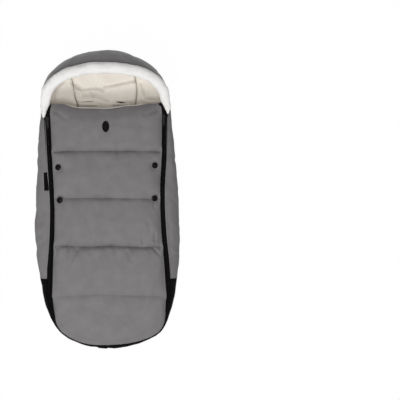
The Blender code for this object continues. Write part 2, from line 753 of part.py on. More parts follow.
def make_puller(word, paint):
    """A flat tab on two arms and a bar, drawn about the pivot and lying towards the toe."""
    half = PULLER_WIDTH / 2
    lift = Vector((0, 0, -PULLER_THICKNESS / 2))
    front = PULLER_THICKNESS / 2
    waist = PULLER_WINDOW + PULLER_ARM
    neck = BRIDGE_WIDTH / 2 + SLIDER_PLAY + PULLER_ARM
    tip = half - PULLER_ARM
    right = ((neck, front), (neck, -waist), (half, -waist - PULLER_ARM), (half, -PULLER_LENGTH + PULLER_ARM))
    right += ((tip, -PULLER_LENGTH),)
    points = [*right, *[(-x, y) for x, y in reversed(right)]]
    outline = [Vector((x, y, 0)) for x, y in points]
    thick = Vector((0, 0, PULLER_THICKNESS))
    body = prism(f"puller_{word}", paint["metal"], outline, lift, thick)
    overrun = Vector((0, 0, CUT_OVERRUN))
    window = box_outline(neck - PULLER_ARM, (PULLER_WINDOW - front) / 2)
    place = Vector((0, -front - (PULLER_WINDOW - front) / 2, 0)) - overrun
    cutter = prism(f"puller_window_{word}", paint["metal"], window, place, 2 * overrun)
    eye = box_outline(PULLER_EYE / 2, PULLER_EYE)
    place = Vector((0, -PULLER_LENGTH + 2 * PULLER_EYE, 0)) - overrun
    hole = prism(f"puller_eye_{word}", paint["metal"], eye, place, 2 * overrun)
    return body, (cutter, hole)


# Cover and flap


GridRow = namedtuple("GridRow", "points base crown puff leans ribs")


def snap_places():
    """Centres of the upper snaps, on the flap, and of the lower ones, on the cover."""
    places = []
    for share in snap_shares:
        y = share * HALF_LENGTH
        x = snap_side_share * edge_of(rib_at(number_at_y(y))).x
        places.append((x, y))
    return places


def dimple_at(x, y):
    """How far the snaps draw the quilt's puffs down, from 0 to 1."""
    drawn = 0.0
    for snap_x, snap_y in snap_places():
        distance = math.hypot(abs(x) - snap_x, y - snap_y) / SNAP_DIMPLE
        drawn = max(drawn, math.exp(-(distance**2)))
    return drawn


def all_columns():
    return [-t for t in reversed(column_shares[1:])] + list(column_shares)


def lean_of(rib, side=1):
    """The way in from the quilt's face at its hem, square to the zip band."""
    lean = band_point(rib, 0.0, 1.0) - band_point(rib, 0.0, 0.0)
    return Vector((side * lean.x, lean.y, lean.z))


def row_leans(rib):
    middle = [Vector((0, 0, -1))] * (len(all_columns()) - 2)
    return [lean_of(rib, -1), *middle, lean_of(rib)]


def quilt_row(points, phase, toe_share):
    """Crown and puff over one row of the quilt: phase runs from 0 to 1 between two quilt lines."""
    fall = 1 - toe_share**3
    swell = math.sin(math.pi * min(max(phase, 0.0), 1.0)) ** 0.7
    crown, puff = [], []
    for t, (x, y) in zip(all_columns(), points):
        crown.append(CROWN_RISE * (1 - abs(t) ** 6) * fall)
        puff.append(PUFF_RISE * swell * (1 - t**8) * (1 - 0.8 * dimple_at(x, y)))
    return crown, puff


def straight_row(y, phase, lift=0.0):
    """A row across the cover at this height, from zip to zip."""
    rib = rib_at(number_at_y(y))
    edge = edge_of(rib)
    points = [(t * edge.x, y + lift) for t in all_columns()]
    bases = [edge.z] * len(points)
    return GridRow(points, bases, *quilt_row(points, phase, 0.0), row_leans(rib), [rib])


def toe_rows(phase_start):
    """Rows that turn from straight into the curve of the toe."""
    first = number_at_y(TOE_ROWS_START * HALF_LENGTH)
    corner = number_at_x(toe_corner_share * HALF_WIDTH)
    corner_edge = edge_of(rib_at(corner))
    arc = [rib_at(number_at_x(abs(t) * corner_edge.x)) for t in all_columns()]
    rows = []
    for share in toe_row_shares[1:]:
        rib = rib_at(first + (corner - first) * share)
        edge = edge_of(rib)
        points, bases = [], []
        for t, arc_rib in zip(all_columns(), arc):
            arc_edge = edge_of(arc_rib)
            points.append((t * edge.x, edge.y + share * (arc_edge.y - corner_edge.y)))
            bases.append(edge.z + share * (arc_edge.z - corner_edge.z))
        phase = phase_start + (1 - phase_start) * share
        crown, puff = quilt_row(points, phase, share)
        leans, ribs = row_leans(rib), [rib]
        if share == 1:
            leans = [lean_of(arc_rib, -1 if t < 0 else 1) for t, arc_rib in zip(all_columns(), arc)]
            ribs = list(reversed(arc[len(column_shares) - 1 :]))
        rows.append(GridRow(points, bases, crown, puff, leans, ribs))
    return rows


def pillow_rows(top, bottom, start, end):
    """Rows of one pillow between two quilt lines, kept to the stretch from start down to end."""
    rows = []
    for share in pillow_row_shares:
        y = top + (bottom - top) * share
        if end - FIT < y < start + FIT:
            rows.append(straight_row(y, share))
    return rows


def quilt_lines():
    return [share * HALF_LENGTH for share in quilt_shares]


def flap_top_row(lift):
    """The flap's free edge: highest at the corners, dipping in the middle."""
    y = flap_top_share * HALF_LENGTH
    row = straight_row(y, 1.0)
    points = [(x, y + lift + TOP_EDGE_DIP * t**2) for t, (x, _) in zip(all_columns(), row.points)]
    return row._replace(points=points)


def phase_of(y, top, bottom):
    return (top - y) / (top - bottom)


def flap_rows():
    lines = quilt_lines()
    top = flap_top_share * HALF_LENGTH
    fold = fold_share * HALF_LENGTH + FIT / 2
    snap_y = snap_places()[0][1]
    rows = [flap_top_row(0.0), *pillow_rows(top, lines[0], top, lines[0])[1:]]
    second = pillow_rows(lines[0], lines[1], lines[0], fold + SNAP_DIAMETER / 2)
    rows += [row for row in second if abs(row.points[0][1] - snap_y) > SNAP_DIAMETER]
    for y in (snap_y + SNAP_DIAMETER / 2, snap_y - SNAP_DIAMETER / 2, fold):
        rows.append(straight_row(y, phase_of(y, lines[0], lines[1])))
    return sorted(rows, key=lambda row: -row.points[len(column_shares) - 1][1])


def cover_rows():
    lines = quilt_lines()
    fold = fold_share * HALF_LENGTH - FIT / 2
    corner = TOE_ROWS_START * HALF_LENGTH
    rows = [straight_row(fold, phase_of(fold, lines[0], lines[1]))]
    rows += pillow_rows(lines[0], lines[1], fold - SNAP_DIAMETER / 2, lines[1])
    rows += pillow_rows(lines[1], lines[2], lines[1], lines[2])
    rows += pillow_rows(lines[2], lines[3], lines[2], lines[3])
    toe = edge_of(rib_at(0.0)).y
    start = phase_of(corner, lines[3], toe)
    rows += [straight_row(lines[3], 0.0), straight_row(corner, start)]
    return rows + toe_rows(start)


def quilt_surface(rows, from_top, from_bottom=None):
    """A surface at this depth below the quilt's face, or above its underside."""
    grid = []
    for row in rows:
        line = []
        for (x, y), base, crown, puff, lean in zip(row.points, row.base, row.crown, row.puff, row.leans):
            if from_bottom is None:
                point = Vector((x, y, base + crown + puff)) + lean * from_top
            else:
                point = Vector((x, y, base + lining_crown_share * crown)) + lean * (HEM_THICKNESS - from_bottom)
            line.append(point)
        grid.append(line)
    return grid


def make_quilt(shell, prefix, paint, rows, lining_rows):
    """Outer fabric, wadding and lining of one part of the cover."""
    outer = slab(shell, paint["outer"], quilt_surface(rows, 0.0), quilt_surface(rows, COVER_FABRIC), True)
    face = quilt_surface(rows, COVER_FABRIC + LAYER_GAP)
    back = quilt_surface(rows, 0.0, COVER_FLEECE + LAYER_GAP)
    padding = slab(f"{prefix}_padding", paint["wadding"], face, back, True)
    face = quilt_surface(lining_rows, 0.0, COVER_FLEECE)
    back = quilt_surface(lining_rows, 0.0, 0.0)
    lining = slab(f"{prefix}_lining", paint["fleece"], face, back, True)
    return [outer, padding, lining]


def mirrored(ribs):
    def flip(v):
        return Vector((-v.x, v.y))

    return [rib._replace(line=flip(rib.line), out=flip(rib.out), seam=flip(rib.seam)) for rib in ribs]


def row_end_ribs(rows):
    return [rib for row in rows for rib in row.ribs]


def make_cover_zips(prefix, paint, ribs):
    made = make_zip_half(prefix, "right", paint, ribs, False)
    return made + make_zip_half(prefix, "left", paint, mirrored(ribs), False)


def cover_zip_ribs():
    """The cover's own edge ribs, as far as the lower ends of the zips."""
    end = rib_at(number_at_x(ZIP_END))
    kept = [rib for rib in row_end_ribs(cover_rows()) if edge_of(rib).x > ZIP_END + FIT]
    return [*kept, end]


def flap_zip_ribs():
    top = rib_at(line_number(flap_zip_share))
    kept = [rib for rib in row_end_ribs(flap_rows()) if rib.line.y < top.line.y - FIT]
    return [top, *kept]


# Snaps and badge


def seat(body, x, y, radius, below=False):
    """A frame that rests on the body's face there, tilted with it and just clear of it all round."""
    tree = BVHTree.FromObject(body, bpy.context.evaluated_depsgraph_get())
    down = 1 if below else -1
    start = -down * HALF_LENGTH
    ring = [(0.0, 0.0)]
    for k in range(ROUND_STEPS):
        turn = 2 * math.pi * k / ROUND_STEPS
        ring.append((radius * math.cos(turn), radius * math.sin(turn)))
    heights = [tree.ray_cast(Vector((x + dx, y + dy, start)), Vector((0, 0, down)))[0].z for dx, dy in ring]
    spread = sum(dx * dx for dx, _ in ring)
    slope_x = sum(dx * z for (dx, _), z in zip(ring, heights)) / spread
    slope_y = sum(dy * z for (_, dy), z in zip(ring, heights)) / spread
    middle = sum(heights) / len(heights)
    rests = [z - middle - slope_x * dx - slope_y * dy for (dx, dy), z in zip(ring, heights)]
    lift = min(rests) - FIT if below else max(rests) + FIT
    normal = Vector((-slope_x, -slope_y, 1)).normalized()
    turn = normal.to_track_quat("Z", "Y").to_matrix().to_4x4()
    return Matrix.Translation(Vector((x, y, middle + lift))) @ turn


def snap_profile(length, stud):
    """Cap and post as (radius, height) points over the cap's underside, with a stud or a socket on top."""
    cap, post = SNAP_DIAMETER / 2, SNAP_POST_DIAMETER / 2
    edge = SNAP_CAP / 2
    if stud:
        tip = SNAP_STUD_DIAMETER / 2
        high = SNAP_CAP + SNAP_STUD_HEIGHT
        profile = [(0.0, high), (tip * 0.8, high), (tip, high - edge / 2), (tip * 0.85, SNAP_CAP)]
    else:
        bore = SNAP_SOCKET_DIAMETER / 2
        floor = SNAP_CAP - SNAP_SOCKET_DEPTH
        profile = [(0.0, floor), (bore, floor), (bore, SNAP_CAP)]
    profile += [(cap - edge, SNAP_CAP), (cap, edge), (cap, 0.0), (post, 0.0), (post, -length), (0.0, -length)]
    return profile


def make_snap(word, side, prefix, stud, paint, layers, place):
    outer, padding, lining = layers
    x, y = side * place[0], place[1]
    top = seat(outer, x, y, SNAP_DIAMETER / 2)
    under = seat(lining, x, y, SNAP_DIAMETER / 2, below=True)
    thickness = (top.translation - under.translation).length
    length = thickness + SNAP_BACK / 2
    cap = turned(f"{prefix}_{word}", paint["snap"], snap_profile(length, stud), top)
    bore = SNAP_POST_DIAMETER / 2 + SNAP_PLAY
    reach = thickness + CUT_OVERRUN
    points = ((0.0, CUT_OVERRUN), (bore, CUT_OVERRUN), (bore, -reach), (0.0, -reach))
    cutter = turned(f"{prefix}_hole_{word}", paint["snap"], points, top)
    for layer in layers:
        combine(layer, cutter, "DIFFERENCE")
    back_radius = SNAP_DIAMETER / 2
    low = -SNAP_BACK
    points = ((bore, 0.0), (back_radius, 0.0), (back_radius, low / 2), (back_radius + low / 2, low), (bore, low))
    foot = under.copy()
    foot.translation = top.translation + (under.translation - top.translation).length * -top.col[2].to_3d()
    foot.translation.z = min(foot.translation.z, under.translation.z)
    shift = (under.translation.z - foot.translation.z) / 2
    foot.translation.z += min(shift, 0.0)
    name = prefix.split("_")[1]
    back = turned(f"{name}_back_{word}", paint["snap"], points, foot)
    return [cap, back]


def make_badge(flap, paint):
    frame = seat(flap, 0.0, badge_share * HALF_LENGTH, BADGE_WIDTH / 2)
    body = empty_body("badge", paint["badge"])
    mesh = bmesh.new()
    chamfer = BADGE_THICKNESS / 2
    levels = ((0.0, 0.0), (BADGE_THICKNESS - chamfer, 0.0), (BADGE_THICKNESS, chamfer))
    loops = []
    for z, draw_in in levels:
        loop = []
        for k in range(2 * ROUND_STEPS):
            turn = math.pi * k / ROUND_STEPS
            x = (BADGE_WIDTH / 2 - draw_in) * math.cos(turn)
            y = (BADGE_LENGTH / 2 - draw_in) * math.sin(turn)
            loop.append(mesh.verts.new(frame @ Vector((x, y, z))))
        loops.append(loop)
    for first, second in zip(loops, loops[1:]):
        for k in range(len(first)):
            n = (k + 1) % len(first)
            mesh.faces.new((first[k], first[n], second[n], second[k]))
    mesh.faces.new(loops[0])
    mesh.faces.new(loops[-1])
    return finish_mesh(body, mesh, smooth=40)


# Joints


def new_joint(name, place, parent=None):
    """An empty on a joint's axis, which the moving pieces hang from."""
    made = bpy.data.objects.new(name, None)
    bpy.context.scene.collection.objects.link(made)
    made.empty_display_size = SNAP_DIAMETER
    made.parent = parent
    made.matrix_basis = (parent.matrix_basis.inverted() if parent else Matrix()) @ place
    return made


def hang(joint, place, bodies, drawn_in_place=True):
    """Parents bodies to a joint. Those drawn in the world keep their place; others are drawn about it."""
    for body in bodies:
        if drawn_in_place:
            body.data.transform(place.inverted())
        body.parent = joint


def cover_axis():
    """The hinge of the cover: the upper outer corner of its hem at the toe."""
    return Matrix.Translation(edge_of(rib_at(0.0)))


def fold_axis():
    """The hinge of the flap, just over the crown of the quilt at the fold line."""
    height = ZIP_HEIGHT + CROWN_RISE + PUFF_RISE + FOLD_CLEARANCE
    return Matrix.Translation(Vector((0, fold_share * HALF_LENGTH, height)))


def make_cover(paint):
    layers = make_quilt("front_cover", "cover", paint, cover_rows(), cover_rows())
    pieces = layers + make_cover_zips("cover", paint, cover_zip_ribs())
    for word, side in (("left", -1), ("right", 1)):
        pieces += make_snap(word, side, "snap_socket", False, paint, layers, snap_places()[1])
    return pieces


def make_flap(paint):
    rows = flap_rows()
    layers = make_quilt("cover_flap", "flap", paint, rows, [flap_top_row(LINING_SHOW), *rows])
    pieces = layers + make_cover_zips("flap", paint, flap_zip_ribs())
    for word, side in (("left", -1), ("right", 1)):
        pieces += make_snap(word, side, "snap_stud", True, paint, layers, snap_places()[0])
    return [*pieces, make_badge(layers[0], paint)]


def make_sliders(paint):
    for word, side in (("left", -1), ("right", 1)):
        place = slider_frame(side)
        joint = new_joint(f"slider_{word}_joint", place)
        body, added = make_slider(word, paint)
        hang(joint, place, (body, *added), drawn_in_place=False)
        for other in added:
            combine(body, other, "UNION")
        pivot = place @ Matrix.Translation(Vector((0, 0, pivot_height())))
        swing = new_joint(f"puller_{word}_joint", pivot, joint)
        puller, cutters = make_puller(word, paint)
        hang(swing, pivot, (puller, *cutters), drawn_in_place=False)
        for cutter in cutters:
            combine(puller, cutter, "DIFFERENCE")


def main():
    for obj in list(bpy.data.objects):
        bpy.data.objects.remove(obj)
    paint = make_materials()
    make_back(paint)
    make_walls(paint)
    make_trim(paint)
    make_sack_zips(paint)
    make_toe_web(paint)
    make_patches(paint)
    cover_pieces = make_cover(paint)
    flap_pieces = make_flap(paint)
    cover_joint = new_joint("cover_joint", cover_axis())
    flap_joint = new_joint("flap_joint", fold_axis(), cover_joint)
    hang(cover_joint, cover_axis(), cover_pieces)
    hang(flap_joint, fold_axis(), flap_pieces)
    make_sliders(paint)


main()
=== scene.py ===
# %% [markdown]
# # A quilted stroller footmuff
#
# This lesson dresses a measured model of a footmuff: a padded bag with a quilted front cover between two
# zips, a hood with a plush edge and a fleece lining. The measured solids are loaded first and stay where
# they are. Soft pieces are sewn anew over them, and so are the zips' teeth and the snaps' caps. The other
# hard pieces keep their solids and get a finish.

# %% Load the measured model
import json
import math

import bmesh
import bpy
import numpy as np
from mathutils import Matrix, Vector
from mathutils.bvhtree import BVHTree


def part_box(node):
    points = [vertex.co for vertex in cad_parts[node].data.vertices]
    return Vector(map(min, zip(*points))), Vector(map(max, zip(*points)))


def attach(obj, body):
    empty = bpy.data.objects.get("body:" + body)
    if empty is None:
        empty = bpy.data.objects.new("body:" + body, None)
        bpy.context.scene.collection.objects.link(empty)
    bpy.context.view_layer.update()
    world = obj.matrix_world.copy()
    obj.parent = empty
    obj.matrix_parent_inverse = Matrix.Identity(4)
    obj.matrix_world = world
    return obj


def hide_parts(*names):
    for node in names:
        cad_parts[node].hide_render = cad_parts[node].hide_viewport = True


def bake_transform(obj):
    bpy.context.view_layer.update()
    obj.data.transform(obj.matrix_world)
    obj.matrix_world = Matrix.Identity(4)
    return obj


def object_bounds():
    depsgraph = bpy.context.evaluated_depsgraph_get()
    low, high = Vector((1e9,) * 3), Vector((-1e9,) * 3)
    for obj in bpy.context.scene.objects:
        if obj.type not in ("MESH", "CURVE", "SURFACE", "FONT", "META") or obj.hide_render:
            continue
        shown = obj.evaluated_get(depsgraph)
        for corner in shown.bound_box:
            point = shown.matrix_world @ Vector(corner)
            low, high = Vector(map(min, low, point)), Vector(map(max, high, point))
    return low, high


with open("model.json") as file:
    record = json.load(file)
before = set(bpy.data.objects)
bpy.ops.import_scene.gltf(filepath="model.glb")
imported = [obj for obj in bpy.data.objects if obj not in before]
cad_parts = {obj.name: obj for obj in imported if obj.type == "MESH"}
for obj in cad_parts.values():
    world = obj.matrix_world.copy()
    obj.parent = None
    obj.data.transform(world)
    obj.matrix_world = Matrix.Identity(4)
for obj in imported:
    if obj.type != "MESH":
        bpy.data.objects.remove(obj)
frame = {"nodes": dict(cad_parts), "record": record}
parts = frame["nodes"]
measured_box = [list(corner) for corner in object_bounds()]
print("measured box in metres:", measured_box)

# %% [markdown]
# The photograph looks straight down on the bag, from so far away that its sides hardly converge. A long
# lens high above the middle does that. The bag lies left of the picture's middle and is turned by about
# one degree, so the lens is shifted and the camera is rolled, and the bag itself stays square.

# %% Place the camera
PICTURE_PIXELS = 400
METRES_PER_PIXEL = 0.00295
CAMERA_HEIGHT = 14.0
bag_middle_pixel = Vector((107.1, 199.4))
bag_turn = math.radians(1.15)

bpy.ops.object.camera_add(location=(0, 0, CAMERA_HEIGHT), rotation=(0, 0, -bag_turn))
camera = bpy.context.object
picture_width = PICTURE_PIXELS * METRES_PER_PIXEL
middle_height = measured_box[1][2] / 2
camera.data.sensor_width = 36
camera.data.lens = camera.data.sensor_width * (CAMERA_HEIGHT - middle_height) / picture_width
off_centre = (Vector((PICTURE_PIXELS / 2, PICTURE_PIXELS / 2)) - bag_middle_pixel) / PICTURE_PIXELS
camera.data.shift_x = off_centre.x
camera.data.shift_y = -off_centre.y
bpy.context.scene.camera = camera
print("lens in millimetres:", round(camera.data.lens, 1))

# %% [markdown]
# The studio is a white floor under soft light. Most of it comes from the toe end and a little from the left,
# which shades the far side of every quilt line. The floor shows as clean white to the camera, and still
# takes a faint shadow from the bag.

# %% Make the floor and the light
bpy.ops.object.select_all(action="DESELECT")
bpy.ops.mesh.primitive_plane_add(size=30, location=(0, 0, -0.0005))
floor = bpy.context.object
floor.name = "studio_floor"

paper = bpy.data.materials.new("white_paper")
paper.use_nodes = True
paper_tree = paper.node_tree
paper_shader = paper_tree.nodes["Principled BSDF"]
paper_shader.inputs["Base Color"].default_value = (0.9, 0.9, 0.9, 1)
paper_shader.inputs["Roughness"].default_value = 0.9


def calculate(operation, first, second):
    """A math node of two inputs. The second is another node's output or a fixed number."""
    made = paper_tree.nodes.new("ShaderNodeMath")
    made.operation = operation
    paper_tree.links.new(first, made.inputs[0])
    if isinstance(second, float):
        made.inputs[1].default_value = second
    else:
        paper_tree.links.new(second, made.inputs[1])
    return made.outputs[0]


# How much of what the camera sees of the floor is plain white; the rest is paper that takes the shadow
FLOOR_WHITE = 0.985
rays = paper_tree.nodes.new("ShaderNodeLightPath").outputs
direct = calculate("MAXIMUM", rays["Is Camera Ray"], rays["Is Glossy Ray"])
seen = calculate("MAXIMUM", direct, rays["Is Transmission Ray"])
share = calculate("MULTIPLY", seen, FLOOR_WHITE)
glow = paper_tree.nodes.new("ShaderNodeEmission")
blend_in = paper_tree.nodes.new("ShaderNodeMixShader")
for i, source in enumerate((share, paper_shader.outputs[0], glow.outputs[0])):
    paper_tree.links.new(source, blend_in.inputs[i])
paper_tree.links.new(blend_in.outputs[0], paper_tree.nodes["Material Output"].inputs["Surface"])
floor.data.materials.append(paper)

studio = bpy.data.worlds.new("studio")
studio.use_nodes = True
studio.node_tree.nodes["Background"].inputs["Color"].default_value = (1, 1, 1, 1)
studio.node_tree.nodes["Background"].inputs["Strength"].default_value = 0.24
bpy.context.scene.world = studio


def add_softbox(name, place, size, power):
    bpy.ops.object.light_add(type="AREA", location=place)
    lamp = bpy.context.object
    lamp.name = name
    lamp.data.size = size
    lamp.data.energy = power
    lamp.rotation_euler = (-Vector(place)).to_track_quat("-Z", "Y").to_euler()


add_softbox("key_softbox", (-0.8, -1.9, 2.9), 1.0, 48)
add_softbox("top_softbox", (-0.1, -0.3, 3.2), 1.2, 44)
bpy.context.scene.view_settings.view_transform = "Standard"

# %% [markdown]
# Finishes. Cloth is never one flat colour: threads cross, the dye is uneven and the nap catches light. Each
# finish starts from the same few nodes: a slow cloud of colour, a fine grain, and bumps from both. The
# pattern is read in metres from the object's own coordinates, so it has its real size everywhere.

# %% Mix the cloth finishes


def start_finish(name, colour, roughness, gloss=0.5, sheen=0.0, metallic=0.0, coat=0.0):
    made = bpy.data.materials.new(name)
    made.use_nodes = True
    shader = made.node_tree.nodes["Principled BSDF"]
    shader.inputs["Base Color"].default_value = (*colour, 1)
    shader.inputs["Roughness"].default_value = roughness
    shader.inputs["Metallic"].default_value = metallic
    shader.inputs["Specular IOR Level"].default_value = gloss
    shader.inputs["Sheen Weight"].default_value = sheen
    shader.inputs["Sheen Roughness"].default_value = 0.4
    shader.inputs["Coat Weight"].default_value = coat
    place = made.node_tree.nodes.new("ShaderNodeTexCoord")
    return made, made.node_tree, shader, place.outputs["Object"]


def cloud(tree, place, size, detail=3.0, roughness=0.55):
    """A soft noise whose blotches are about this many metres across."""
    made = tree.nodes.new("ShaderNodeTexNoise")
    made.inputs["Scale"].default_value = 1 / size
    made.inputs["Detail"].default_value = detail
    made.inputs["Roughness"].default_value = roughness
    tree.links.new(place, made.inputs["Vector"])
    return made.outputs["Fac"]


def threads(tree, place, pitch, axis):
    """Parallel ridges this many metres apart."""
    made = tree.nodes.new("ShaderNodeTexWave")
    made.bands_direction = axis
    made.inputs["Scale"].default_value = 0.314 / pitch
    made.inputs["Distortion"].default_value = 0.6
    made.inputs["Detail Scale"].default_value = 2.0
    tree.links.new(place, made.inputs["Vector"])
    return made.outputs["Fac"]


def tint(tree, shader, factor, dark, light, low=0.3, high=0.7):
    """Colours the shader from dark to light as the factor rises from low to high."""
    ramp = tree.nodes.new("ShaderNodeValToRGB")
    ramp.color_ramp.elements[0].position = low
    ramp.color_ramp.elements[0].color = (*dark, 1)
    ramp.color_ramp.elements[1].position = high
    ramp.color_ramp.elements[1].color = (*light, 1)
    tree.links.new(factor, ramp.inputs["Fac"])
    tree.links.new(ramp.outputs["Color"], shader.inputs["Base Color"])
    return ramp


def raise_bumps(tree, shader, *layers):
    """Stacks bumps: each layer is a height from 0 to 1 and the metres that it rises."""
    last = None
    for height, rise in layers:
        bump = tree.nodes.new("ShaderNodeBump")
        bump.inputs["Distance"].default_value = rise
        bump.inputs["Strength"].default_value = 1.0
        tree.links.new(height, bump.inputs["Height"])
        if last is not None:
            tree.links.new(last, bump.inputs["Normal"])
        last = bump.outputs["Normal"]
    tree.links.new(last, shader.inputs["Normal"])


def mix_woven(name, dark, light, roughness, pitch, gloss, sheen, crease=0.0006):
    """A woven cloth: two crossing sets of threads over uneven dye and faint creases."""
    made, tree, shader, place = start_finish(name, light, roughness, gloss, sheen)
    tint(tree, shader, cloud(tree, place, 0.035, 6.0, 0.6), dark, light)
    over = threads(tree, place, pitch, "X")
    under = threads(tree, place, pitch, "Y")
    raise_bumps(
        tree,
        shader,
        (cloud(tree, place, 0.03, 2.0, 0.5), crease),
        (cloud(tree, place, 0.0012, 2.0), 0.00006),
        (over, pitch * 0.06),
        (under, pitch * 0.06),
    )
    return made


def mix_napped(name, dark, light, sheen, fluff, rise):
    """A napped cloth such as fleece or plush: soft blotches and a deep fluffy bump, and painted shade in
    brown wherever the seam_shade attribute is set.
    """
    made, tree, shader, place = start_finish(name, light, 0.95, 0.2, sheen)
    ramp = tint(tree, shader, cloud(tree, place, fluff * 3, 4.0, 0.65), dark, light, 0.25, 0.75)
    shade = tree.nodes.new("ShaderNodeAttribute")
    shade.attribute_name = "seam_shade"
    painted_shade_mix = tree.nodes.new("ShaderNodeMixRGB")
    # The brown that the seam_shade attribute mixes in: painted shade
    painted_shade_mix.inputs["Color2"].default_value = (0.16, 0.105, 0.08, 1)
    tree.links.new(shade.outputs["Fac"], painted_shade_mix.inputs["Fac"])
    tree.links.new(ramp.outputs["Color"], painted_shade_mix.inputs["Color1"])
    tree.links.new(painted_shade_mix.outputs["Color"], shader.inputs["Base Color"])
    raise_bumps(
        tree,
        shader,
        (cloud(tree, place, fluff * 4, 3.0, 0.6), rise),
        (cloud(tree, place, fluff, 4.0, 0.7), rise * 0.5),
    )
    return made


grey_cloth = mix_woven("grey_cloth", (0.176, 0.169, 0.172), (0.208, 0.200, 0.204), 0.8, 0.0007, 0.25, 0.08)
# The hood's grey is a lighter copy of the grey cloth, with more sheen. The lighter colour is painted light,
# so that the hood's steep slope, which faces away from the lamps, shows as bright as the flat cover.
hood_grey_painted_lighter = mix_woven(
    "hood_grey_cloth_painted_lighter", (0.222, 0.214, 0.217), (0.260, 0.251, 0.255), 0.8, 0.0007, 0.25, 0.6
)
black_cloth = mix_woven(
    "black_cloth", (0.0026, 0.0022, 0.0025), (0.005, 0.0043, 0.0048), 0.75, 0.0009, 0.05, 0.0
)
tape_cloth = mix_woven(
    "zip_tape_cloth", (0.0024, 0.0022, 0.0024), (0.0046, 0.0043, 0.0046), 0.85, 0.0008, 0.04, 0.0, 0.0001
)
# Dark brown: painted shadow for behind the slots' slits
slit_painted_shadow = mix_woven(
    "slit_painted_shadow", (0.050, 0.034, 0.027), (0.085, 0.060, 0.048), 0.9, 0.0008, 0.05, 0.0, 0.0002
)
cream_fleece = mix_napped("cream_fleece", (0.82, 0.765, 0.69), (0.905, 0.86, 0.795), 0.35, 0.0018, 0.0007)
white_plush = mix_napped("white_plush", (0.84, 0.825, 0.805), (0.93, 0.92, 0.905), 0.25, 0.0022, 0.0009)
print("cloth finishes:", [m.name for m in (grey_cloth, black_cloth, tape_cloth, cream_fleece, white_plush)])

# %% Mix the hard finishes


def mix_hard(name, dark, light, roughness, metallic, gloss, coat):
    """Moulded or painted pieces: nearly even colour with fine grain and uneven gloss."""
    made, tree, shader, place = start_finish(name, light, roughness, gloss, 0.0, metallic, coat)
    tint(tree, shader, cloud(tree, place, 0.004, 4.0), dark, light)
    raise_bumps(tree, shader, (cloud(tree, place, 0.0006, 2.0), 0.00003))
    return made


black_metal = mix_hard("black_metal", (0.007, 0.007, 0.0075), (0.014, 0.014, 0.0146), 0.38, 1.0, 0.3, 0.0)
black_snap = mix_hard("black_snap", (0.004, 0.004, 0.004), (0.007, 0.007, 0.0074), 0.42, 0.0, 0.10, 0.0)
black_badge = mix_hard("black_badge", (0.004, 0.003, 0.003), (0.008, 0.0065, 0.0066), 0.6, 0.0, 0.05, 0.0)
seam_thread = mix_hard("seam_thread", (0.075, 0.070, 0.073), (0.105, 0.099, 0.102), 0.7, 0.0, 0.2, 0.0)
# The lining's thread is dark brown. It is thread, and it is also painted shade standing for the shadow in the
# seam's groove
lining_thread_and_seam_shade = mix_hard("lining_thread_and_seam_shade", (0.045, 0.028, 0.021), (0.080, 0.054, 0.042), 0.8, 0.0, 0.1, 0.0)
tooth_nylon = mix_hard("tooth_nylon", (0.0028, 0.0026, 0.0028), (0.0052, 0.0050, 0.0052), 0.6, 0.0, 0.10, 0.0)

# %% [markdown]
# A soft piece starts from the measured solid's own mesh. It comes as loose triangles, so they are sewn up
# and paired into quads. Sharp hems are creased, and a subdivision surface then rounds the cloth between.

# %% Define how a measured solid becomes cloth


def set_mode(mode):
    bpy.ops.object.mode_set(mode=mode)


def put_away():
    """Leaves editing and selects nothing."""
    if bpy.context.object and bpy.context.object.mode != "OBJECT":
        set_mode("OBJECT")
    bpy.ops.object.select_all(action="DESELECT")


def take_up(piece):
    put_away()
    piece.hide_set(False)
    piece.select_set(True)
    bpy.context.view_layer.objects.active = piece


def pick_faces(piece, test):
    """Opens the piece for editing with only the faces selected that pass the test."""
    take_up(piece)
    set_mode("EDIT")
    bpy.ops.mesh.select_mode(type="FACE")
    bpy.ops.mesh.select_all(action="DESELECT")
    set_mode("OBJECT")
    for face in piece.data.polygons:
        face.select = bool(test(face))
    set_mode("EDIT")


def join_parts(name, *names):
    """One new object from copies of measured solids."""
    put_away()
    copies = [bpy.data.objects.new(name, parts[n].data.copy()) for n in names]
    for made in copies:
        bpy.context.scene.collection.objects.link(made)
        made.select_set(True)
    bpy.context.view_layer.objects.active = copies[0]
    if len(copies) > 1:
        bpy.ops.object.join()
    piece = bpy.context.object
    piece.name = piece.data.name = name
    piece.data.materials.clear()
    bpy.ops.mesh.customdata_custom_splitnormals_clear()
    return piece


def sew_up(piece, reach=0.00002):
    """Joins points that are this close, drops faces inside the piece and pairs triangles into quads."""
    take_up(piece)
    set_mode("EDIT")
    bpy.ops.mesh.select_all(action="SELECT")
    bpy.ops.mesh.remove_doubles(threshold=reach)
    bpy.ops.mesh.select_all(action="DESELECT")
    bpy.ops.mesh.select_mode(type="FACE")
    bpy.ops.mesh.select_interior_faces()
    bpy.ops.mesh.delete(type="FACE")
    bpy.ops.mesh.select_all(action="SELECT")
    bpy.ops.mesh.tris_convert_to_quads(face_threshold=math.radians(50), shape_threshold=math.radians(75))
    set_mode("OBJECT")


def crease_hems(piece, angle=50):
    """Marks sharp edges, so that subdividing keeps hems where they are."""
    mesh = bmesh.new()
    mesh.from_mesh(piece.data)
    crease = mesh.edges.layers.float.new("crease_edge")
    for edge in mesh.edges:
        if len(edge.link_faces) != 2 or edge.calc_face_angle() > math.radians(angle):
            edge[crease] = 1.0
    mesh.to_mesh(piece.data)
    mesh.free()


def use_modifier(piece, kind, **settings):
    """Adds a modifier, sets it and applies it."""
    take_up(piece)
    made = piece.modifiers.new(kind.lower(), kind)
    for key, value in settings.items():
        setattr(made, key, value)
    bpy.ops.object.modifier_apply(modifier=made.name)


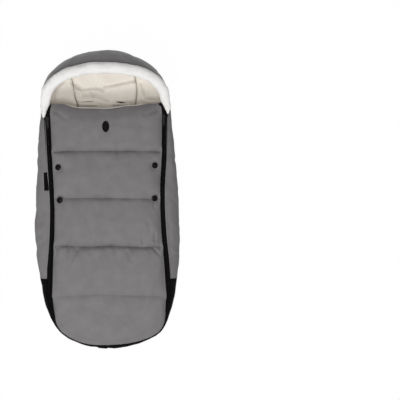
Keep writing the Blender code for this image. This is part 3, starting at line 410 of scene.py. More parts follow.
def points_of(piece, kind="co"):
    flat = np.empty(len(piece.data.vertices) * 3)
    piece.data.vertices.foreach_get(kind, flat)
    return flat.reshape(-1, 3)


def normals_of(piece):
    return points_of(piece, "normal")


def set_points(piece, points):
    piece.data.vertices.foreach_set("co", np.asarray(points, dtype=np.float64).ravel())
    piece.data.update()


def refine(piece, levels, passes=4):
    """Subdivides a piece, so that the smooth skin still passes through the points that it started from.
    A subdivided skin shrinks a little inside its cage, so the cage is first let out by what is missing."""
    take_up(piece)
    made = piece.modifiers.new("refine", "SUBSURF")
    made.levels = made.render_levels = levels
    goal = points_of(piece)
    cage = goal.copy()
    for _ in range(passes):
        set_points(piece, cage)
        shown = piece.evaluated_get(bpy.context.evaluated_depsgraph_get()).to_mesh()
        reached = np.array([shown.vertices[i].co for i in range(len(goal))])
        cage += goal - reached
    set_points(piece, cage)
    bpy.ops.object.modifier_apply(modifier=made.name)
    print(piece.name, "points let out by up to mm:", round(float(np.abs(cage - goal).max()) * 1000, 2))


def cut_cloth(name, *solids, levels, reach=0.00002, angle=50):
    """A smooth cloth in the shape of measured solids, with its hems kept sharp."""
    piece = join_parts(name, *solids)
    sew_up(piece, reach)
    crease_hems(piece, angle)
    refine(piece, levels)
    return piece


def dress(piece, finish, body, *replaced, slot=None, angle=50):
    """Gives a finished piece its material and its body, and hides the solids that it stands for."""
    put_away()
    piece.data.materials.clear()
    piece.data.materials.append(finish)
    take_up(piece)
    bpy.ops.object.shade_smooth_by_angle(angle=math.radians(angle))
    if body:
        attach(piece, body)
    if replaced:
        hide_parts(*replaced)
    put_away()
    print(piece.name, "faces:", len(piece.data.polygons))


def tree_of(piece):
    """What a plumb line or the nearest point is looked up in."""
    return BVHTree.FromObject(piece, bpy.context.evaluated_depsgraph_get())


def drop_line(tree, x, y):
    """Where a plumb line from above all pieces meets the tree's piece, and the way that piece faces there."""
    return tree.ray_cast(Vector((x, y, 0.3)), Vector((0, 0, -1)))[:2]


# %% [markdown]
# Wrinkles in padded cloth are soft waves that run out from where the cloth is held. Smooth noise is the
# simplest way to get them: sums of sine waves in random directions, which stay the same on every run.
# Creases that the photograph shows are drawn one by one, as lines in plan.

# %% Define soft waves and drawn creases


def waves(points, size, seed, count=14):
    """A smooth random field over the points, from about -1 to 1, with humps about this many metres apart."""
    chosen = np.random.default_rng(seed)
    total = np.zeros(len(points))
    for _ in range(count):
        way = chosen.normal(size=3)
        way *= 2 * math.pi / (size * chosen.uniform(0.7, 1.5) * np.linalg.norm(way))
        total += np.sin(points @ way + chosen.uniform(0, 2 * math.pi))
    return total / math.sqrt(count)


def bell(values, centre, width):
    """1 at the centre, and falling smoothly to 0 on either side."""
    return np.exp(-(((values - centre) / width) ** 2))


def near_line(points, line, width):
    """How close each point is to a drawn line in plan, from 0 to 1, as a bell this wide."""
    closest = np.full(len(points), 1e9)
    for a, b in zip(line, line[1:]):
        a, b = np.array(a[:2], float), np.array(b[:2], float)
        way = b - a
        t = np.clip((points[:, :2] - a) @ way / (way @ way), 0, 1)
        closest = np.minimum(closest, np.linalg.norm(points[:, :2] - a - t[:, None] * way, axis=1))
    return bell(closest, 0, width)


def soften(line):
    """Cuts the corners of a drawn line, so that it becomes a curve."""
    line = np.array(line, float)
    for _ in range(3):
        a, b = line[:-1], line[1:]
        inner = np.stack([0.75 * a + 0.25 * b, 0.25 * a + 0.75 * b], axis=1).reshape(-1, 2)
        line = np.vstack([line[:1], inner, line[-1:]])
    return line


def ramp_up(values, start, end):
    """0 up to start, 1 from end on, and smooth between."""
    t = np.clip((values - start) / (end - start), 0, 1)
    return t * t * (3 - 2 * t)


def plateau(values, start, full, fade, end):
    """Rises from start to full, and falls again from fade to end."""
    return ramp_up(values, start, full) * (1 - ramp_up(values, fade, end))


# %% [markdown]
# The hood of the real bag leans a little to the left, and the foot guard starts higher on the left than on
# the right. Soft goods are never quite square, so the pieces there are moved by the same small amounts.

# %% Define how the soft bag lies askew


def lean(points):
    """Moves the top of the hood a little to the left, and the toe's right corner and the upper right zip a
    little outwards. The columns are views, so changing them changes the points."""
    x, y, z = points.T
    x -= 0.0040 * ramp_up(y, 0.30, 0.43) * ramp_up(z, 0.0, 0.05)
    corner = np.exp(-((x - 0.140) ** 2 + (y + 0.385) ** 2) / 0.055**2)
    x += 0.0046 * corner
    y -= 0.0046 * corner
    at_zip = plateau(x, 0.135, 0.158, 0.184, 0.204)
    x += 0.0038 * at_zip * plateau(y, 0.03, 0.13, 0.265, 0.295)
    return points


def seam_shift(points):
    """How far the seam between the foot guard and the sides is moved along the bag."""
    x, y, _ = points.T
    near = plateau(y, -0.34, -0.245, -0.235, -0.14)
    return near * np.where(x < 0, 0.0095, 0.0030)


# %% [markdown]
# Padded pieces are blown up by a short cloth simulation: the sewn skin is held at its hems and seams, and
# air pressure inside lifts what lies between them into soft, slightly wrinkled pillows.

# %% Define how a padded piece is filled


def plump(piece, held, pressure, cap, steps=20):
    """Blows up a piece. Points that are held stay, and no other point moves further than the cap."""
    take_up(piece)
    before = points_of(piece)
    group = piece.vertex_groups.new(name="held")
    group.add([int(i) for i in np.flatnonzero(held)], 1.0, "REPLACE")
    made = piece.modifiers.new("cloth", "CLOTH")
    made.settings.vertex_group_mass = group.name
    made.settings.use_pressure = True
    made.settings.uniform_pressure_force = pressure
    made.settings.shrink_min = -0.03
    made.settings.quality = 5
    made.settings.effector_weights.gravity = 0
    made.point_cache.frame_end = steps
    for step in range(1, steps + 1):
        bpy.context.scene.frame_set(step)
    bpy.ops.object.modifier_apply(modifier=made.name)
    bpy.context.scene.frame_set(1)
    piece.vertex_groups.clear()
    moved = points_of(piece) - before
    length = np.linalg.norm(moved, axis=1)
    moved *= (cap * np.tanh(length / cap) / np.maximum(length, 1e-9))[:, None]
    set_points(piece, before + moved)
    print(piece.name, "blown up by at most mm:", round(float(np.linalg.norm(moved, axis=1).max()) * 1000, 1))


# %% [markdown]
# The fleece bag inside is one padded skin: lining and wadding together. Joining their solids and giving
# them one voxel skin makes it continuous, as the real lining is. The seams beside the centre panel and the
# soft folds of the loose fleece are pressed in afterwards.

# %% Sew the fleece bag
LINING_SOLIDS = [
    f"{place}_{kind}" for kind in ("padding", "lining") for place in ("back", "foot", "hood")
] + [f"side_{kind}_{side}" for kind in ("padding", "lining") for side in ("left", "right")]
LINING_SEAMS = (
    [(-0.1020, 0.375), (-0.0958, 0.3521), (-0.0914, 0.3257), (-0.0878, 0.2992), (-0.0801, 0.2807),
     (-0.0770, 0.20)],
    [(0.0885, 0.375), (0.0912, 0.3522), (0.0958, 0.3350), (0.0940, 0.3061), (0.0897, 0.2799), (0.0870, 0.20)],
)
LINING_FOLDS = (
    [(-0.0966, 0.3483), (-0.0764, 0.3242), (-0.0231, 0.3321), (-0.0056, 0.3227)],
    [(-0.0024, 0.3345), (0.0894, 0.3504)],
    [(-0.0420, 0.3160), (-0.0353, 0.3116), (-0.0130, 0.3010), (0.0086, 0.2932)],
    [(-0.0950, 0.3420), (-0.0850, 0.3400), (-0.0760, 0.3330)],
    [(-0.0640, 0.3080), (-0.0480, 0.3100), (-0.0330, 0.3050)],
    [(-0.1230, 0.3500), (-0.1400, 0.3360), (-0.1490, 0.3160), (-0.1480, 0.2950)],
    [(0.1075, 0.3400), (0.1110, 0.3220), (0.1165, 0.3055)],
    [(0.1200, 0.2976), (0.1420, 0.2950), (0.1580, 0.2940)],
)

fleece_bag = join_parts("fleece_bag", *LINING_SOLIDS)
use_modifier(fleece_bag, "REMESH", mode="VOXEL", voxel_size=0.0035, adaptivity=0)
use_modifier(fleece_bag, "SMOOTH", factor=0.5, iterations=5)
pick_faces(
    fleece_bag, lambda face: face.center.y > 0.25 and abs(face.center.x) < 0.15 and face.normal.z > 0.1
)
bpy.ops.mesh.subdivide(number_cuts=1, smoothness=1.0)
set_mode("OBJECT")
points, outward = points_of(fleece_bag), normals_of(fleece_bag)
x, y, z = points.T
points -= outward * 0.0012
inside = ramp_up(outward[:, 2], 0.15, 0.5) * ramp_up(z, 0.008, 0.011)
pressed = np.zeros(len(points))
seams = [soften(line) for line in LINING_SEAMS]
folds = [soften(line) for line in LINING_FOLDS]
for seam in seams:
    pressed -= 0.0062 * near_line(points, seam, 0.0034)
for fold in folds:
    pressed -= 0.0048 * near_line(points, fold, 0.0052)
    pressed += 0.0018 * near_line(points, fold - (0, 0.011), 0.0080)
pressed += 0.0018 * waves(points, 0.055, 31)
z += np.maximum(pressed * inside, np.minimum(0.0045 - z, 0))
# Painted shade along the lining's seams and folds, kept in the seam_shade attribute. At the seams it is
# partly the darker pressed pile and partly the shadow in the groove, and along the folds it is only shade.
shades = sum(near_line(points, seam, 0.0021) for seam in seams)
shades = shades * (0.62 - 0.30 * ramp_up(y, 0.285, 0.335) + 0.12 * waves(points, 0.03, 33))
shades = shades + sum(0.22 * near_line(points, fold, 0.0036) for fold in folds)
seam_shade = fleece_bag.data.attributes.new("seam_shade", "FLOAT", "POINT")
seam_shade.data.foreach_set("value", np.clip(shades * inside, 0, 1))
towards = np.array([0.0, 0.20, 0.0]) - points * (1, 1, 0)
towards /= np.linalg.norm(towards, axis=1)[:, None]
faces_in = ramp_up((outward * towards).sum(1), 0.2, 0.6)
rim = faces_in * ramp_up(z, 0.06, 0.10) * ramp_up(y, 0.255, 0.275)
points += outward * (0.0034 * rim)[:, None]
near_wall = ramp_up(np.abs(x), 0.155, 0.175) * ramp_up(0.26 - y, 0.0, 0.03)
points -= outward * (0.0020 * near_wall)[:, None]
set_points(fleece_bag, lean(points))
dress(fleece_bag, cream_fleece, "sack", *LINING_SOLIDS, slot="cream_fleece")
fleece_tree = tree_of(fleece_bag)

# %% [markdown]
# The outer cloth is cut in five panels: the back, two sides, the foot guard and the hood. They keep the
# shape of the measured walls, with soft wrinkles where the wadding is loose. The flat size printed for each
# one is a rectangle with the modelled cloth's own area. Its width was picked, so it isn't the size of a
# real cut, and checking it against the area shows nothing. Only the zip tapes have a measured
# length.

# %% Sew the outer panels
BACK_SOLIDS = ("back_panel_foot", "back_panel", "back_panel_head_left", "back_panel_head_right")
PANELS = {
    "side_cloth_left": ("side_wall_left", grey_cloth, "grey_fabric", 0.14),
    "side_cloth_right": ("side_wall_right", grey_cloth, "grey_fabric", 0.14),
    "foot_cloth": ("foot_guard", black_cloth, "black_fabric", 0.16),
    "hood_cloth": ("hood_shell", hood_grey_painted_lighter, "grey_fabric", 0.17),
}


def cloth_area(piece):
    """The area of one side of a thin piece, as its mesh has both."""
    return sum(face.area for face in piece.data.polygons) / 2


panel_trees = {}


def declare_sheet(piece, width, held, *rests_on, length=None):
    """Works out a rectangle of the piece's own area, with a picked width or with a measured length, and
    prints its size. With a length, the width given is the least one, and the rectangle may then be larger
    than the piece."""
    area = cloth_area(piece)
    if length:
        width = max(area / length, width)
    else:
        length = area / width
    print(piece.name, "flat size in metres:", round(width, 3), "x", round(length, 3))


SIDE_CREASES = (
    [(-0.180, -0.046), (-0.199, -0.066)],
    [(-0.178, -0.078), (-0.200, -0.104)],
    [(-0.181, -0.118), (-0.203, -0.131)],
    [(-0.178, 0.062), (-0.196, 0.040)],
    [(-0.181, 0.158), (-0.200, 0.136)],
    [(0.180, 0.128), (0.200, 0.112)],
    [(0.179, 0.084), (0.201, 0.060)],
    [(0.181, 0.030), (0.203, 0.014)],
    [(0.180, -0.066), (0.202, -0.088)],
    [(0.181, -0.150), (0.203, -0.162)],
)
for seed, (name, (solid, finish, slot, width)) in enumerate(PANELS.items()):
    panel = cut_cloth(name, solid, levels=3)
    points, outward = points_of(panel), normals_of(panel)
    x, y, z = points.T
    zip_edge = ramp_up(z, 0.072, 0.079) * (name != "hood_cloth")
    loose = ramp_up(z, 0.004, 0.024) * (1 - zip_edge)
    ripple = 0.0020 * waves(points * (1, 0.7, 1), 0.10, seed) + 0.0006 * waves(points, 0.035, seed + 10)
    for line in SIDE_CREASES:
        ripple = ripple - 0.0022 * near_line(points, line, 0.0060)
    at_seam = bell(y, -0.2405, 0.022) + bell(y, 0.272, 0.022)
    points += outward * (ripple * loose * (1 - at_seam))[:, None]
    y += seam_shift(points)
    if name.startswith("side"):
        under_plush = bell(y, 0.262, 0.014) * ramp_up(np.abs(x), 0.172, 0.180)
        if name == "side_cloth_left":
            top = ramp_up(z, 0.062, 0.076)
            x += 0.0012 * top * (1 - ramp_up(y, 0.0, 0.12))
        z -= 0.0055 * under_plush * ramp_up(z, 0.050, 0.078)
    set_points(panel, lean(points))
    dress(panel, finish, "sack", solid, slot=slot)
    declare_sheet(panel, width, "stretched", "fleece_bag")
    panel_trees[name] = tree_of(panel)

# %% [markdown]
# The back cloth is a flat sheet on the floor. It is drawn as a grid whose rows are as wide as the measured
# back, and a thin wall is given to it. The harness slots aren't cut into it, as they are in the measured
# back: seen from below, this cloth is closed.

# %% Sew the back cloth
guide = join_parts("guide", *BACK_SOLIDS)
outline = points_of(guide)
bpy.data.objects.remove(guide)
outline = outline[outline[:, 0] > 0.002]
outline = outline[np.argsort(outline[:, 1])]
low_y, high_y = outline[0, 1], outline[-1, 1]
edge_y = sorted(set(outline[:, 1].round(4)))
edge_x = [outline[np.abs(outline[:, 1] - y) < 0.0002, 0].max() for y in edge_y]
# The slots have corners too, which lie nearer to the middle than the outline does, except at its ends
kept = [
    i for i, (x, y) in enumerate(zip(edge_x, edge_y)) if i == 0 or x > 0.09 or y < -0.38 or y > 0.37
]
edge_y, edge_x = [edge_y[i] for i in kept], [edge_x[i] for i in kept]
print("back cloth rows from", round(low_y, 3), "to", round(high_y, 3))

bpy.ops.mesh.primitive_grid_add(x_subdivisions=36, y_subdivisions=80, size=1)
back_cloth = bpy.context.object
back_cloth.name = back_cloth.data.name = "back_cloth"
points = points_of(back_cloth)
x, y, z = points.T
along = np.sin(y * math.pi * 0.96) / math.sin(math.pi * 0.48) / 2 + 0.5
y[:] = low_y + along * (high_y - low_y)
x *= 2 * np.interp(y, edge_y, edge_x)
z[:] = 0.0015 + 0.0002 * waves(points, 0.05, 40)
set_points(back_cloth, points)
use_modifier(back_cloth, "SOLIDIFY", thickness=0.0013, offset=-1)
dress(back_cloth, grey_cloth, "sack", *BACK_SOLIDS, slot="grey_fabric")
declare_sheet(back_cloth, 0.33, "stretched", "fleece_bag")

# %% [markdown]
# The quilt is the front cover and its flap in one: from the fold up it follows the flap, below it the
# cover. Its underside is moved down onto the lining, so that it is as thick as the wadding makes it. Four
# stitched lines run across it. The sewer's hand wandered a little, so the straight lines of the measured
# model are moved to where the photograph shows them.

# %% Draw the quilt's stitched lines and edges
FOLD_Y, FOLD_Z = 0.04901, 0.1065
# Each line: its y in the measured model, its drawn points, how deep it is pressed in, how far its slopes
# run to either side, and how strongly the cloth puckers beside it
STITCH_LINES = (
    (-0.2860, [(-0.17, -0.2838), (-0.118, -0.2826), (-0.038, -0.2800), (0.074, -0.2845), (0.17, -0.2890)],
     0.0022, 0.007, 0.0003),
    (-0.1420, [(-0.17, -0.1340), (-0.107, -0.1350), (-0.0886, -0.1372), (-0.049, -0.1385),
               (0.0114, -0.1365), (0.051, -0.1400), (0.103, -0.1435), (0.17, -0.1425)],
     0.0088, 0.0058, 0.0020),
    (-0.0030, [(-0.17, 0.0060), (-0.119, 0.0060), (0, 0.0045), (0.13, -0.0010), (0.17, -0.0015)],
     0.0062, 0.0075, 0.0006),
    (0.1390, [(-0.17, 0.1425), (-0.119, 0.1450), (0, 0.1435), (0.082, 0.1420), (0.17, 0.1375)],
     0.0082, 0.0070, 0.0008),
)
FLAP_EDGE = [(-0.165, 0.2850), (-0.12, 0.2834), (-0.10, 0.2750), (-0.074, 0.2698), (0, 0.2668),
             (0.023, 0.2678), (0.0575, 0.2733), (0.09, 0.2742), (0.112, 0.2777), (0.165, 0.2805)]
FLAP_HEM = 0.037
DRAWN_CREASES = (
    ([(-0.093, -0.150), (-0.104, -0.166), (-0.116, -0.192)], 0.0040, 0.0055),
    ([(-0.151, -0.140), (-0.152, -0.160)], 0.0034, 0.0040),
    ([(-0.118, -0.138), (-0.119, -0.164)], 0.0030, 0.0040),
    ([(-0.108, -0.118), (-0.108, -0.131)], 0.0028, 0.0030),
    ([(-0.051, -0.142), (-0.051, -0.158)], 0.0032, 0.0040),
    ([(-0.036, -0.166), (-0.040, -0.178)], 0.0020, 0.0050),
    ([(-0.033, -0.120), (-0.033, -0.135)], 0.0026, 0.0032),
    ([(0.020, -0.119), (0.020, -0.134)], 0.0028, 0.0032),
    ([(0.021, -0.143), (0.020, -0.163)], 0.0034, 0.0038),
    ([(0.056, -0.152), (0.068, -0.182)], 0.0034, 0.0050),
    ([(0.103, -0.115), (0.103, -0.133)], 0.0024, 0.0036),
    ([(0.139, -0.105), (0.138, -0.123)], 0.0026, 0.0036),
    ([(0.131, -0.145), (0.140, -0.154), (0.152, -0.166)], 0.0036, 0.0045),
    ([(-0.060, -0.056), (-0.048, -0.095)], 0.0026, 0.0055),
    ([(0.118, -0.065), (0.126, -0.095)], 0.0018, 0.0070),
    ([(0.138, -0.010), (0.138, -0.026)], 0.0022, 0.0036),
    ([(0.035, 0.140), (0.035, 0.122)], 0.0026, 0.0040),
    ([(-0.150, 0.262), (-0.135, 0.254), (-0.118, 0.240)], 0.0028, 0.0065),
    ([(0.150, 0.262), (0.137, 0.256), (0.120, 0.246)], 0.0030, 0.0065),
)
# Where the snaps pull the cloth in around them
SNAP_SPOTS = ((-0.1426, 0.0970), (0.1426, 0.0970), (-0.1398, 0.0), (0.1398, 0.0))


def height_on(line, x):
    return np.interp(x, [spot[0] for spot in line], [spot[1] for spot in line])


def wander(points):
    """How far each point of the quilt moves along the bag, so that its lines lie where they are drawn."""
    x = points[:, 0]
    stops = [(-0.4300, 0 * x)] + [(y, height_on(line, x) - y) for y, line, *_ in STITCH_LINES[:3]]
    stops += [(FOLD_Y, 0 * x), (0.1390, height_on(STITCH_LINES[3][1], x) - 0.1390)]
    straight_edge = 0.268 + 0.010 * (x / 0.16) ** 2
    stops += [(straight_edge, height_on(FLAP_EDGE, x) - straight_edge)]
    moved = np.zeros(len(points))
    for (low, low_move), (high, high_move) in zip(stops, stops[1:]):
        t = (points[:, 1] - low) / (high - low)
        moved = np.where(t >= 0, low_move + np.clip(t, 0, 1) * (high_move - low_move), moved)
    return moved


# %% Sew the quilt
quilt = join_parts("quilt", "front_cover", "cover_flap")
sew_up(quilt, 0.00045)
lining_solids = join_parts("lining_guide", "cover_lining", "flap_lining")
lining_tree = tree_of(lining_solids)
bpy.data.objects.remove(lining_solids)
shape = bmesh.new()
shape.from_mesh(quilt.data)
shape.normal_update()
for vertex in shape.verts:
    if vertex.normal.z < 0.2:
        spot, _, _, _ = lining_tree.find_nearest(vertex.co)
        vertex.co = spot + (vertex.co - spot).normalized() * 0.0003
shape.to_mesh(quilt.data)
shape.free()
crease_hems(quilt, 60)
refine(quilt, 2)

points, outward = points_of(quilt), normals_of(quilt)
held = np.where(outward[:, 2] < 0.35, 1.0, 0.0)
for y, *_ in STITCH_LINES[1:]:
    held = np.maximum(held, np.where(np.abs(points[:, 1] - y) < 0.0045, 1.0, 0.0))
print("quilt points:", len(points), "held:", int((held > 0).sum()))
plump(quilt, held, 3.5, 0.007)
refine(quilt, 1, 2)

# %% Press in the stitched lines


def sinking(points):
    """How deep the stitched lines, the drawn creases and the slope of the flap's edge press the quilt in."""
    x, y = points[:, 0], points[:, 1]
    sunk = np.zeros(len(points))
    for seed, (_, line, depth, run, pucker) in enumerate(STITCH_LINES):
        away = np.abs(y - height_on(line, x))
        wobble = 1 + 0.22 * waves(points * (1, 0.2, 0), 0.05, 50 + seed)
        sunk += depth * wobble * np.exp(-away / run)
        ripple = waves(points * (1, 0.25, 0), 0.016, 60 + seed) * bell(away, 0.008, 0.010)
        sunk += pucker * ripple
    for line, depth, width in DRAWN_CREASES:
        sunk += 1.25 * depth * near_line(points, line, width)
    for spot in SNAP_SPOTS:
        sunk += 0.0018 * bell(np.hypot(x - spot[0], y - spot[1]), 0.0105, 0.0050)
    to_edge = np.maximum(height_on(FLAP_EDGE, x) - y, 0)
    sunk += 0.0135 * np.clip(1 - to_edge / FLAP_HEM, 0, 1) ** 1.4
    return sunk - 0.0011 * waves(points, 0.075, 70) - 0.0005 * waves(points, 0.03, 71)


points, outward = points_of(quilt), normals_of(quilt)
x, y, z = points.T
y += wander(points)
upper = ramp_up(outward[:, 2], 0.0, 0.45)
hem = ramp_up(0.168 - np.abs(x), 0.0, 0.020)
z -= sinking(points) * (upper * (0.15 + 0.85 * hem) + (1 - upper) * 0.85 * hem)
for _, line, *_ in STITCH_LINES[1:]:
    beside = bell(y, height_on(line, x), 0.011)
    z += 0.0030 * beside * (1 - ramp_up(0.168 - np.abs(x), 0.004, 0.018))
    x += np.sign(x) * 0.0016 * beside * (1 - hem)
toe = ramp_up(-y, 0.30, 0.40) * ramp_up(np.hypot(x, y + 0.25), 0.08, 0.15)
x += 0.0050 * toe * x / 0.17
y -= (0.0058 - 0.0012 * np.tanh(x / 0.05)) * toe * np.clip((-0.25 - y) / 0.17, 0, 1)
lower = 1 - ramp_up(y, 0.0, 0.10)
x -= np.sign(x) * np.where(x < 0, 0.0026 + 0.0016 * lower, 0.0026) * (1 - hem) * (1 - toe)
set_points(quilt, lean(points))
print("quilt box:", [round(v, 3) for v in quilt.dimensions])
QUILT_SOLIDS = ("front_cover", "cover_flap", "cover_padding", "flap_padding")
dress(quilt, grey_cloth, None, *QUILT_SOLIDS, slot="grey_fabric")
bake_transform(quilt)
quilt_tree = tree_of(quilt)

# %% Sew the quilt's lining
quilt_fleece = cut_cloth("quilt_fleece", "cover_lining", "flap_lining", levels=3, reach=0.00045, angle=60)
points = points_of(quilt_fleece)
x, y, z = points.T
y += wander(points)
inner = ramp_up(0.168 - np.abs(x), 0.0, 0.020)
z -= sinking(points) * inner + 0.0012 * inner * (1 - ramp_up(y, 0.22, 0.25))
y -= 0.0026 * ramp_up(np.abs(x), 0.10, 0.135) * ramp_up(y, 0.24, 0.26)
x -= np.sign(x) * 0.0060 * (1 - inner)
y += 0.0045 * ramp_up(-y, 0.33, 0.42)
for i, (x, y, z) in enumerate(points):
    cover, _ = drop_line(quilt_tree, x, y)
    if cover is not None:
        points[i, 2] = min(z, cover.z - 0.0014)
set_points(quilt_fleece, lean(points))
dress(quilt_fleece, cream_fleece, None, "cover_lining", "flap_lining", slot="cream_fleece")
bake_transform(quilt_fleece)

# %% [markdown]
# The plush roll is a stuffed tube of deep white pile. Its surface is soft, with fine tufts.

# %% Make the plush roll
# Where the ends of the roll have their inner and outer edge, as places along the bag and across it
PLUSH_INNER = ((0.2435, 0.2454, 0.2857, 0.312), (0.1830, 0.1792, 0.1634, 0.152))
PLUSH_OUTER = ((0.2435, 0.2520, 0.2620, 0.312), (0.1850, 0.1900, 0.1925, 0.190))

plush_roll = join_parts("plush_roll", "plush_trim")
sew_up(plush_roll)
refine(plush_roll, 3)
points, outward = points_of(plush_roll), normals_of(plush_roll)
fluff = 0.0010 * waves(points, 0.032, 5) + 0.0004 * waves(points, 0.009, 6)
points += outward * fluff[:, None]
x, y, z = points.T
y -= 0.0038 * ramp_up(y, 0.30, 0.38)
reach = np.abs(x)
plush_tree = tree_of(plush_roll)
rows = np.arange(0.2440, 0.3170, 0.003)
reaches = [
    [far for far in np.arange(0.140, 0.204, 0.001) if drop_line(plush_tree, far, row)[0]] for row in rows
]
nearest = np.interp(y, rows, [seen[0] for seen in reaches])
furthest = np.interp(y, rows, [seen[-1] for seen in reaches])
share = np.clip((reach - nearest) / np.maximum(furthest - nearest, 0.004), 0, 1)
wanted = np.interp(y, *PLUSH_INNER) * (1 - share) + np.interp(y, *PLUSH_OUTER) * share
at_tips = 1 - ramp_up(y, 0.280, 0.310)
moved = at_tips * (wanted - reach)
x += np.sign(x) * moved
z -= at_tips * np.maximum(reach + moved - 0.180, 0) * 0.12
tongue = plateau(y, 0.2435, 0.2530, 0.266, 0.284)
z += 0.0085 * tongue * np.clip(outward[:, 2], 0, 1) * (4 * share * (1 - share)) ** 0.6
set_points(plush_roll, lean(points))
use_modifier(plush_roll, "REMESH", mode="VOXEL", voxel_size=0.0024, adaptivity=0)
use_modifier(plush_roll, "SMOOTH", factor=0.5, iterations=5)
dress(plush_roll, white_plush, "sack", "plush_trim", slot="white_plush")

# %% [markdown]
# Each zip has a woven tape on either side and two rows of teeth that mesh in the middle. The tapes are
# copies of the measured strips, let out until they meet under the teeth, and carried on at the top along
# the cloth's edge. One tooth is modelled and then repeated along both rows, half a step apart.

# %% Sew the zip tapes
TAPE_ENDS = {
    "zip_tape": [(0.1690, 0.2780), (0.1650, 0.2850), (0.1610, 0.2910)],
    "flap_tape": [(0.1655, 0.2560), (0.1635, 0.2700), (0.1600, 0.2810)],
    "cover_tape": [],
}
TAPE_BODIES = {"zip": "sack", "cover": "cover", "flap": "flap"}
# The least width of the tapes' printed size. No narrower sheet can be declared. The bag's own two
# tapes are a little narrower than this
LEAST_WIDTH = 0.010


def away_from_middle(spot):
    way = np.array([spot[0], min(spot[1] + 0.2, 0.0), 0.0])
    return way / np.linalg.norm(way)


def rib_order(corners):
    """The corners of a strip sorted along it, four to a rib."""
    return np.argsort(corners[:, 1] + np.abs(corners[:, 0])).reshape(-1, 4)


def strip_length(piece, sign, stops):
    """The length of a strip through the middles of its ribs, and on through these places in plan."""
    corners = points_of(piece)
    middles = [corners[rib].mean(0) for rib in rib_order(corners)]
    middles += [np.array([sign * x, y, middles[-1][2]]) for x, y in stops]
    return np.linalg.norm(np.diff(middles, axis=0), axis=1).sum()


def let_out(piece, inner, outer, upper=0.0):
    """Moves the inner and the outer edge of a strip outwards by these lengths, and the outer edge by some
    more above the snaps. An edge that goes far inwards is tucked down, under the quilt's hem."""
    corners = points_of(piece)
    for rib in rib_order(corners):
        middle = corners[rib].mean(0)
        side = (corners[rib] - middle) @ away_from_middle(middle)
        across = corners[rib[side > 0]].mean(0) - corners[rib[side <= 0]].mean(0)
        across /= np.linalg.norm(across)
        corners[rib[side > 0]] += across * (outer + upper * ramp_up(middle[1], 0.06, 0.14))
        corners[rib[side <= 0]] += across * inner
        corners[rib[side <= 0], 2] -= 0.0030 * (inner < -0.004)
    set_points(piece, corners)


def carry_on(piece, sign, stops):
    """Extrudes the top end of a strip through these places in plan."""
    for x, y in stops:
        corners = points_of(piece)
        end = rib_order(corners)[-1]
        step = np.array([sign * x, y, corners[end].mean(0)[2]]) - corners[end].mean(0)
        pick_faces(piece, lambda face: all(v in end for v in face.vertices))
        bpy.ops.mesh.extrude_region_move(TRANSFORM_OT_translate={"value": tuple(step)})
        set_mode("OBJECT")


for side, sign in (("left", -1), ("right", 1)):
    for kind, stops in TAPE_ENDS.items():
        tape = join_parts(f"{kind}_cloth_{side}", f"{kind}_{side}")
        sew_up(tape)
        if kind == "zip_tape":
            let_out(tape, -0.0026, *((0.0010, 0.0030) if side == "left" else (0.0022, 0.0)))
        else:
            let_out(tape, -0.0064 if side == "left" else -0.0052, 0.0026)
        length = strip_length(tape, sign, stops)
        carry_on(tape, sign, stops)
        crease_hems(tape, 45)
        refine(tape, 3)
        set_points(tape, lean(points_of(tape)))
        dress(tape, tape_cloth, TAPE_BODIES[kind.split("_")[0]], f"{kind}_{side}", slot="zip_tape")
        declare_sheet(tape, LEAST_WIDTH, "stretched", "fleece_bag", length=length)

# %% Model one tooth
put_away()
bpy.ops.mesh.primitive_cube_add(size=1)
tooth = bpy.context.object
tooth.name = "tooth_pattern"
tooth.scale = (0.0024, 0.0010, 0.0018)
bpy.ops.object.transform_apply(scale=True)
pick_faces(tooth, lambda face: face.normal.x < -0.9)
bpy.ops.mesh.extrude_region_move(TRANSFORM_OT_translate={"value": (-0.0008, 0, 0)})
bpy.ops.transform.resize(value=(1, 1.5, 0.8))
bpy.ops.mesh.select_all(action="SELECT")
bpy.ops.mesh.bevel(offset=0.0002, segments=1, affect="EDGES")
set_mode("OBJECT")
print("tooth faces:", len(tooth.data.polygons))

# %% Set the teeth along the tapes
TOOTH_STEP = 0.0026
ROW_ENDS = {
    "zip_coil": [(0.1722, 0.2590), (0.1690, 0.2700), (0.1645, 0.2790), (0.1600, 0.2865)],
    "flap_coil": [(0.1693, 0.2520), (0.1668, 0.2660), (0.1625, 0.2770), (0.1595, 0.2830)],
    "cover_coil": [],
}


def spaced_along(path, ups, pitch, start):
    """Evenly spaced places along a smooth curve through the path, each with its heading and its way up."""
    knots = np.r_[0, np.cumsum(np.linalg.norm(np.diff(path, axis=0), axis=1))]
    slopes = np.gradient(path, knots, axis=0) if len(path) > 2 else np.diff(path, axis=0)[[0, 0]] / knots[-1]
    count = int(knots[-1] / pitch)
    places = (np.arange(count) + start) * knots[-1] / count
    i = np.clip(np.searchsorted(knots, places) - 1, 0, len(knots) - 2)
    width = (knots[i + 1] - knots[i])[:, None]
    t = (places - knots[i])[:, None] / width
    spots = (2 * t**3 - 3 * t**2 + 1) * path[i] + (t**3 - 2 * t**2 + t) * width * slopes[i]
    spots += (3 * t**2 - 2 * t**3) * path[i + 1] + (t**3 - t**2) * width * slopes[i + 1]
    heading = np.gradient(spots, axis=0)
    heading /= np.linalg.norm(heading, axis=1)[:, None]
    up = (1 - t) * ups[i] + t * ups[i + 1]
    up -= (up * heading).sum(1)[:, None] * heading
    up /= np.linalg.norm(up, axis=1)[:, None]
    return spots, heading, up


